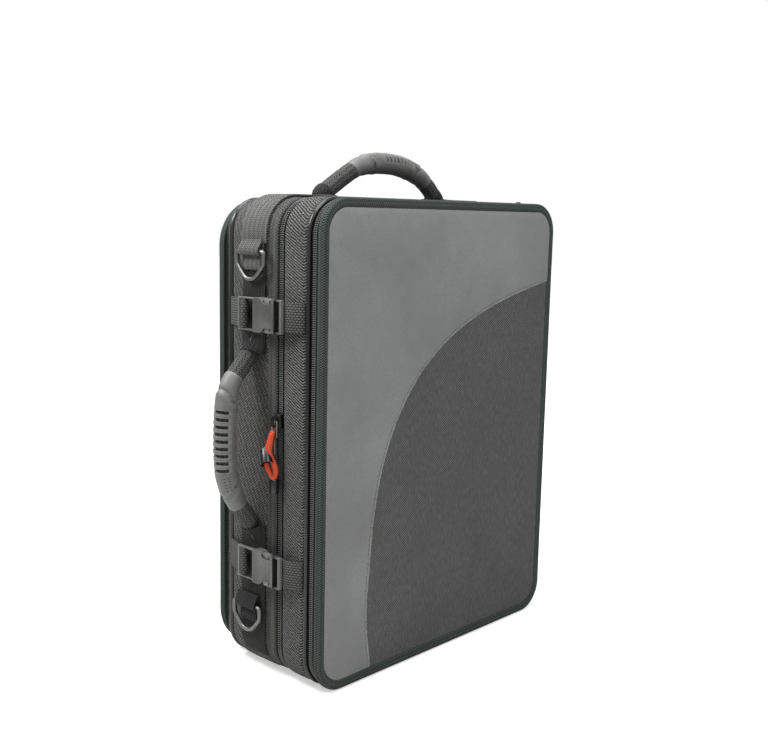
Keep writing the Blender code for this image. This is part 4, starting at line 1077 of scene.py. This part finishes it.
def moulded(name, flat):
    # a grip: a collar at each end, a petal-shaped crease behind it, and slots across its back
    setting = handle[name]
    first, last = (shareAt(flat, setting[key]) for key in ("from", "to"))
    steps, full = handle["gripSteps"], handle["grip"]
    spots = []
    for step in range(steps + 1):
        spot, _ = alongRoute(flat, first + (last - first) * step / steps)
        spots.append((spot[0], 0.0, spot[1]))
    made = tube(name + "Grip", spots, [full] * len(spots), 36)
    whole = handle["long"] * (last - first)
    near = KDTree(len(spots))
    for i, spot in enumerate(spots):
        near.insert(spot, i)
    near.balance()

    def press(p):
        spot, i, _ = near.find(p)
        out = p - spot
        if out.length < full * 0.5:
            return Vector()
        out = out.normalized()
        up = (spot - Vector((0.0, 0.0, -0.035))).normalized()
        turn = out.dot(up)
        edge = min(i, steps - i) / steps * whole
        size = -0.0015 * max(0.0, 1 - edge / 0.036) ** 1.3  # thinner towards the ends
        size -= 0.0007 * max(0.0, 1 - edge / 0.0018)  # the rim
        size -= 0.0006 * max(0.0, 1 - abs(edge - 0.0070) / 0.0070) * max(0.0, 0.4 - turn)
        petal = 0.0150 + 0.0085 * (1 - max(0.0, turn)) ** 1.6  # the crease and its swelling
        if turn > -0.35:
            size -= 0.0011 * math.exp(-((edge - petal) / 0.0014) ** 2)
        size += 0.0005 * math.exp(-((edge - petal - 0.0042) / 0.0028) ** 2)
        return out * size

    shaped(made, press)
    wide = setting["slotWidth"]
    reach = math.radians(setting["slotReach"])
    turns = [reach * (i / 8 - 1) for i in range(17)]
    outline = [(r * math.sin(t), r * math.cos(t))
               for r, way in ((handle["slotRim"], turns), (full - handle["slotDeep"], turns[::-1]))
               for t in way]
    cutter = eased(prism("slotCutter", outline, -wide / 2, wide / 2), 0.0007)
    cutter.data.transform(Matrix.Rotation(math.radians(90), 4, "Z"))
    lean = Matrix.Rotation(math.radians(setting["slotTurn"]), 4, "X")
    cuts = []
    for i in range(setting["slots"]):
        along = setting["slotAt"] + (i - (setting["slots"] - 1) / 2) * setting["slotPitch"]
        (x, z), way = alongRoute(flat, shareAt(flat, along))
        cut = copied(cutter, "slot")
        cut.data.transform(Matrix.Translation((x, 0, z)) @ Matrix.Rotation(-way, 4, "Y") @ lean)
        cuts.append(cut)
    removed(cutter)
    carved(made, joined("slots", cuts))
    eased(made, 0.0004, 2, 50)
    # how far out each point lies, for the painted shade on the slots' floors
    mapped(made, lambda p: (near.find(p)[2] / full, 0.0), "deep")
    made.data.uv_layers.active = made.data.uv_layers["cloth"]
    return made


def axesOf(setting, sign=1):
    # across, along and out of the wall at a handle
    along, out = Vector(setting["along"]) * sign, Vector(setting["out"])
    place = Matrix((along.cross(out), along, out)).transposed().to_4x4()
    place.translation = Vector(setting["at"])
    return place


def handles():
    for name in ("side", "top"):
        flat = smoothRun(handle[name]["route"], 4)
        radii = [handle["foot"] + (handle["tube"] - handle["foot"])
                 * max(-0.5, min(1.0, (handle["half"] - abs(a)) / 0.008)) for a, _ in flat]
        grip = moulded(name, flat)
        core = tube(name + "HandleTube", [(a, 0.0, b) for a, b in flat], radii, 20)
        pieces = [(core, "tubeBraid", "webbing_cloth", (name + "_handle_core",)),
                  (grip, "gripRubber", "rubber", (name + "_handle_grip",))]
        if name == "top":
            left = tube("topFootCuffLeft", [(x, 0.0, z) for x, z, _ in handle["cuff"]],
                        [radius for _, _, radius in handle["cuff"]], 20)
            right = copied(left, "topFootCuffRight")
            right.data.transform(Matrix.Scale(-1, 4, (1, 0, 0)))
            right.data.flip_normals()
            pieces += [(cuff, "anchorWebbing", "webbing_cloth", ()) for cuff in (left, right)]
        # the pieces are modelled along X and out along Z
        place = axesOf(handle[name]) @ Matrix(((0, -1, 0, 0), (1, 0, 0, 0), (0, 0, 1, 0),
                                               (0, 0, 0, 1)))
        for piece, look, slot, nodes in pieces:
            piece.data.transform(place)
            dressed(smoothed(piece, 50), look, name + "_handle", slot, *nodes)


handles()
print("handles ready")

strapwork = {
    "level": 0.0029, "thick": 0.0015, "low": -0.0262, "wide": 0.0314, "thin": 0.0012,
    # hoods over the handles' feet: distance from the handle's middle, and height
    "hoodHalf": 0.0142,
    "hood": ((0.0886, 0.0034), (0.0862, 0.0041), (0.0838, 0.0056), (0.0815, 0.0079),
             (0.0793, 0.0112), (0.0772, 0.0142)),
    "patch": ((0.0886, 0.0032), (0.0862, 0.0034), (0.0838, 0.0037), (0.0815, 0.0041),
              (0.0793, 0.0046), (0.0742, 0.0050)),
    # straps: height over the wall's face along Y; the rear one turns round the buckle's bar
    "strapWide": 0.0240, "strapThick": 0.0013, "strapAt": {"upper": 0.3164, "lower": 0.1015},
    "front": ((-0.0716, 0.0012), (-0.0712, 0.0030), (-0.0700, 0.0042), (-0.0680, 0.0052),
              (-0.0655, 0.0064), (-0.0625, 0.0078), (-0.0595, 0.0088), (-0.0565, 0.0089),
              (-0.0540, 0.0086), (-0.0522, 0.0078), (-0.0508, 0.0066)),
    "rear": ((0.0212, 0.0010), (0.0200, 0.0030), (0.0150, 0.0046), (0.0090, 0.0066),
             (0.0035, 0.0082), (0.0000, 0.0087), (-0.0024, 0.0090), (-0.0036, 0.0100),
             (-0.0041, 0.0116), (-0.0048, 0.0130), (-0.0060, 0.0138), (-0.0074, 0.0138),
             (-0.0088, 0.0132), (-0.0096, 0.0118), (-0.0096, 0.0104), (-0.0088, 0.0092),
             (-0.0070, 0.0084)),
    # ring tabs, out from the webbing and up from the ring's bar
    "tab": ((0.0, 0.0092), (0.0, 0.0040), (0.0002, 0.0), (0.0012, -0.0022), (0.0032, -0.0031),
            (0.0052, -0.0022), (0.0061, 0.0), (0.0056, 0.0024), (0.0040, 0.0050),
            (0.0024, 0.0072), (0.0016, 0.0092), (0.0015, 0.0100)),
    "tail": ((0.0004, -0.0030), (0.0006, -0.0072), (0.0016, -0.0096), (0.0019, -0.0125),
             (0.0012, -0.0150), (0.0002, -0.0158)),
}
# the D rings: their bars, and the wire's loop in half widths and drops
ring = {
    "wire": 0.0019, "half": 0.0170, "drop": 0.0225, "level": -0.1638,
    "bars": {"upper": (-0.0110, 0.3680), "lower": (-0.0074, 0.0622)},
    "shape": ((-0.90, 0.0), (0.90, 0.0), (1.0, 0.07), (1.0, 0.25), (1.0, 0.46), (0.86, 0.60),
              (0.44, 0.94), (0.20, 1.03), (-0.20, 1.03), (-0.44, 0.94), (-0.86, 0.60),
              (-1.0, 0.46), (-1.0, 0.25), (-1.0, 0.07)),
}


def laid(name, spots, y, wide, look, *nodes, thick=strapwork["thick"], cuts=2):
    # webbing that follows spots in X and Z, its edge at y
    band = strip(name, [(x, y, z) for x, z in spots], (0, 1, 0), wide, thick, cuts)
    dressed(band, look, "base", "webbing_cloth", *nodes)


def wallWebbing():
    half, low, high, radius = case["shell"]
    level = strapwork["level"] + strapwork["thick"] / 2
    y, wide = strapwork["low"], strapwork["wide"]
    left, reach = -half - level, radius + level
    turns = [math.radians(90 * i / 12) for i in range(13)]
    corner = [(-half + radius - reach * math.sin(t), high - radius + reach * math.cos(t))
              for t in turns]
    laid("cornerWebbing", [(-0.0818, high + level), *corner, (left, 0.3790), (left, 0.3742)],
         y, wide, "webbing", "corner_webbing")
    # below the upper ring the corner webbing goes on as a darker strip laid over it: painted shade
    laid("anchorTail", [(left + 0.0001, z) for z in (0.3750, 0.330, 0.2835)], y + 0.0012,
         wide - 0.0030, "anchorWebbing", "corner_webbing")
    # below, the webbing runs round to the bottom and into the wall
    foot = [(-half + radius - reach * math.cos(t) + 0.0004 * i,
             low + radius - reach * math.sin(t) + 0.0003 * i) for i, t in enumerate(turns[:7])]
    laid("lowerWebbing", [(left, 0.1345), (left, 0.070), *foot], y, wide, "anchorWebbing",
         "lower_webbing")
    laid("topWebbing", [(x, high + level) for x in (0.0672, 0.0900, 0.1145)], y, wide, "webbing",
         "top_webbing")


def hooded(name, profile):
    # a folded patch that hoods the handle's foot
    patch = added("grid", name, size=1, x_subdivisions=12, y_subdivisions=10)
    last = len(profile) - 1
    base = profile[0][1]

    def hood(p):
        t = p.x * 2
        s = (0.5 - p.y) * last
        i = min(int(s), last - 1)
        along, out = (a + (b - a) * (s - i) for a, b in zip(profile[i], profile[i + 1]))
        full = math.cos(t * math.pi / 2) ** 0.75 if abs(t) < 1 else 0.0
        across = t * (strapwork["hoodHalf"] - 0.0035 * full * s / last)
        along -= (1 - full) * 0.0042 * s / last
        return Vector((across, along, base + (out - base) * full)) - p

    shaped(patch, hood)
    patch.data.uv_layers[0].name = "cloth"
    mapped(patch, lambda p: (p.y, p.x))
    cleaned(patch)
    if patch.data.polygons[0].normal.z < 0:
        patch.data.flip_normals()
    modified(patch, "SOLIDIFY", thickness=0.0013, offset=1.0)
    return eased(patch, 0.0004)


def anchors():
    hood = hooded("anchorHood", strapwork["hood"])
    patch = hooded("anchorPatch", strapwork["patch"])
    tack = added("cylinder", "tack", vertices=8, radius=0.0006, depth=0.0064,
                 rotation=(1.14, 0, 0.12), location=(-0.0012, 0.0862, 0.0056))
    other = copied(chamfered(tack, 0.0002), "tackSecond")
    shaped(other, lambda p: Vector((0.0024 - 2 * (p.x + 0.0012), 0.0006, 0)))
    tack = joined("bartack", [tack, other])
    for name, axes, sign, node, pieces in (
        ("sideUpper", "side", 1, "side_anchor_upper", (hood, tack)),
        ("sideLower", "side", -1, "side_anchor_lower", (hood, tack)),
        ("topRight", "top", 1, "top_anchor_right", (patch,)),
        ("topLeft", "top", -1, "top_anchor_left", (patch,)),
    ):
        for piece in pieces:
            made = copied(piece, name + piece.name[0].upper() + piece.name[1:])
            made.data.transform(axesOf(handle[axes], sign))
            look, nodes = ("tackThread", ()) if piece is tack else ("anchorWebbing", (node,))
            dressed(smoothed(made, 50), look, "base", "webbing_cloth", *nodes)
    for piece in (hood, patch, tack):
        removed(piece)


def straps():
    # each strap loops through its own half of the buckle
    wide = strapwork["strapWide"]
    for name, z in strapwork["strapAt"].items():
        for end, body in (("front", "lid"), ("rear", "base")):
            spots = [(case["face"] - out, y, z - wide / 2) for y, out in strapwork[end]]
            made = strip(end + "Strap" + name.capitalize(), spots, (0, 0, 1), wide,
                         strapwork["strapThick"])
            dressed(made, "strapWebbing", body, "webbing_cloth", end + "_strap_" + name)


def ringTabs():
    # a loop of webbing over each ring's bar, its tail stitched to the wall
    inner = case["face"] - strapwork["level"] - strapwork["thick"] - 0.0007
    for name, look in (("upper", "webbing"), ("lower", "anchorWebbing")):
        y, bar = ring["bars"][name]
        for part, wide, nodes in (("tab", 0.0256, ("ring_tab_" + name,)), ("tail", 0.0218, ())):
            edge = y - (0.0128 if part == "tab" else 0.0112)
            spots = [(inner - out, bar + up) for out, up in strapwork[part]]
            laid("ring" + part.capitalize() + name.capitalize(), spots, edge, wide, look, *nodes,
                 thick=strapwork["thin"], cuts=1)


wallWebbing()
anchors()
straps()
ringTabs()
print("webbing ready")


def fromNode(node, name, look, body, slot, ease, segments=2, angle=32, work=None, smooth=40):
    # the solid's own shape, with its hard edges eased as a mould leaves them
    made = bpy.data.objects.new(name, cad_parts[node].data.copy())
    bpy.context.scene.collection.objects.link(made)
    cleaned(made, 0.000004, flatten=True)
    if work:
        work(made)
    eased(made, ease, segments, angle)
    return dressed(smoothed(made, smooth), look, body, slot, node)


def facesPicked(made, rule):
    bpy.ops.mesh.select_all(action="DESELECT")
    shape = bmesh.from_edit_mesh(made.data)
    for face in shape.faces:
        face.select = rule(face)
    bmesh.update_edit_mesh(made.data)


def dished(made):
    # the outer plate sinks a little inside a raised rim
    edit(made)
    bpy.ops.mesh.select_mode(type="FACE")
    shape = bmesh.from_edit_mesh(made.data)
    outer = max((face for face in shape.faces if face.normal.x < -0.9),
                key=lambda face: face.calc_area()).index
    facesPicked(made, lambda face: face.index == outer)
    bpy.ops.mesh.inset(thickness=0.0013, depth=0.0)
    bpy.ops.transform.translate(value=(0.0005, 0, 0))
    # the socket behind the strap bar is hollow
    facesPicked(made, lambda face: face.normal.y < -0.9 and face.calc_area() > 0.00008
                and abs(face.calc_center_median().y + 0.04805) < 0.0004)
    bpy.ops.mesh.inset(thickness=0.0012, depth=0.0)
    bpy.ops.transform.translate(value=(0, 0.0060, 0))
    backToObject()


def rounded(spots, times):
    # corners cut again and again until the loop runs smoothly
    for _ in range(times):
        spots = [tuple(p + (q - p) * share for p, q in zip(a, b))
                 for a, b in zip(spots, spots[1:] + spots[:1]) for share in (0.25, 0.75)]
    return spots


def ringWire(name):
    y, z = ring["bars"][name]
    path = rounded([(ring["level"], y + a * ring["half"], z - b * ring["drop"])
                    for a, b in ring["shape"]], 3)[::2]
    made = tube("dRing" + name.capitalize(), path, [ring["wire"]] * len(path), 12, cyclic=True)
    dressed(smoothed(made, 60), "ringSteel", name + "_ring", "ring_metal", "d_ring_" + name)


def fittings():
    shell, slot = "buckleShell", "buckle_plastic"
    for name in ("upper", "lower"):
        title = name.capitalize()
        fromNode("buckle_female_" + name, "buckleFemale" + title, shell, "lid", slot, 0.0004,
                 work=dished)
        fromNode("buckle_male_" + name, "buckleMale" + title, shell, "base", slot, 0.0003)
        for arm in ("top", "bottom"):
            fromNode("buckle_arm_" + name + "_" + arm, "buckleArm" + title + arm.capitalize(),
                     shell, name + "_buckle_" + arm + "_arm", slot, 0.0003)
        ringWire(name)
    fromNode("main_zip_slider", "mainSlider", "sliderSteel", "main_slider", "slider_metal",
             0.0003)
    fromNode("main_zip_pull", "mainPull", "pullSteel", "main_pull", "pull_metal", 0.0002)
    fromNode("main_pull_sleeve", "pullSleeve", "darkPlastic", "main_pull", "grey_plastic",
             0.0013, 3)
    for side in ("front", "back"):
        for kind, look in (("slider", "sliderSteel"), ("pull", "pullSteel")):
            node = side + "_pocket_" + kind
            fromNode(node, side + kind.capitalize(), look, node, kind + "_metal", 0.0002)


fittings()
print("fittings ready")

# the pull's cord, from its end in the sleeve through the pull's hole and back (Y from the zip)
pull = {
    "strand": 0.0023, "beadWide": 0.0056, "beadLong": 0.0145, "beadAt": (-0.1680, 0.0046, 0.1985),
    "cord": ((-0.1636, 0.0008, 0.1798), (-0.1642, 0.0010, 0.1820), (-0.1656, 0.0024, 0.1852),
             (-0.1672, 0.0040, 0.1900), (-0.1680, 0.0050, 0.1950), (-0.1678, 0.0054, 0.2000),
             (-0.1672, 0.0048, 0.2050), (-0.1664, 0.0036, 0.2100), (-0.1656, 0.0022, 0.2150),
             (-0.1650, 0.0012, 0.2182), (-0.1646, 0.0008, 0.2196), (-0.1654, 0.0002, 0.2192),
             (-0.1660, 0.0000, 0.2176), (-0.1664, 0.0006, 0.2140), (-0.1668, 0.0014, 0.2090),
             (-0.1670, 0.0018, 0.2040), (-0.1664, 0.0008, 0.1990), (-0.1654, -0.0016, 0.1945),
             (-0.1646, -0.0030, 0.1905), (-0.1640, -0.0026, 0.1860), (-0.1637, -0.0012, 0.1822),
             (-0.1636, -0.0009, 0.1798)),
}


def pullCord():
    line = zips["main"]["line"]
    path = smoothRun([(x, line + y, z) for x, y, z in pull["cord"]], 4)
    made = tube("pullCord", path, [pull["strand"]] * len(path), 14)
    dressed(smoothed(made, 70), "orangeCord", "main_pull", "orange_cord", "main_pull_cord")

    # the bead: a barrel with hollow mouths, slipped askew over both strands
    bead = added("cylinder", "pullBead", vertices=20, radius=pull["beadWide"],
                 depth=pull["beadLong"])
    edit(bead)
    bpy.ops.mesh.select_mode(type="FACE")
    facesPicked(bead, lambda face: abs(face.normal.z) > 0.9)
    bpy.ops.mesh.inset(thickness=0.0016)
    shape = bmesh.from_edit_mesh(bead.data)
    for point in {p for face in shape.faces if face.select for p in face.verts}:
        point.co.z *= 0.62
    bmesh.update_edit_mesh(bead.data)
    backToObject()
    eased(bead, 0.0009, 3, 50)
    x, y, z = pull["beadAt"]
    bead.rotation_euler = (math.radians(-34), math.radians(24), 0)
    bead.location = (x, line + y, z)
    settle(bead)
    dressed(smoothed(bead, 40), "darkPlastic", "main_pull", "grey_plastic", "main_pull_bead")


def insides():
    # foam under plush: the solids' hollows with rounded rims
    for node, name, body, rim, fill in (("clarinet_tray", "clarinetTray", "base", 0.0016, 0.9),
                                        ("lid_pad", "lidPad", "lid", 0.0022, 0.8)):
        made = fromNode(node, name, "plush", body, "plush", rim, 4, 40, smooth=60)
    for node, look in (("base_board", "liningCloth"), ("lid_board", "liningCloth"),
                       ("front_core", "liningCloth"), ("back_core", "liningCloth"),
                       ("base_hinge_strip", "hingeCloth"), ("lid_hinge_strip", "hingeCloth")):
        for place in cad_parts[node].material_slots:
            place.material = looks[look]


pullCord()
insides()
print("insides ready")
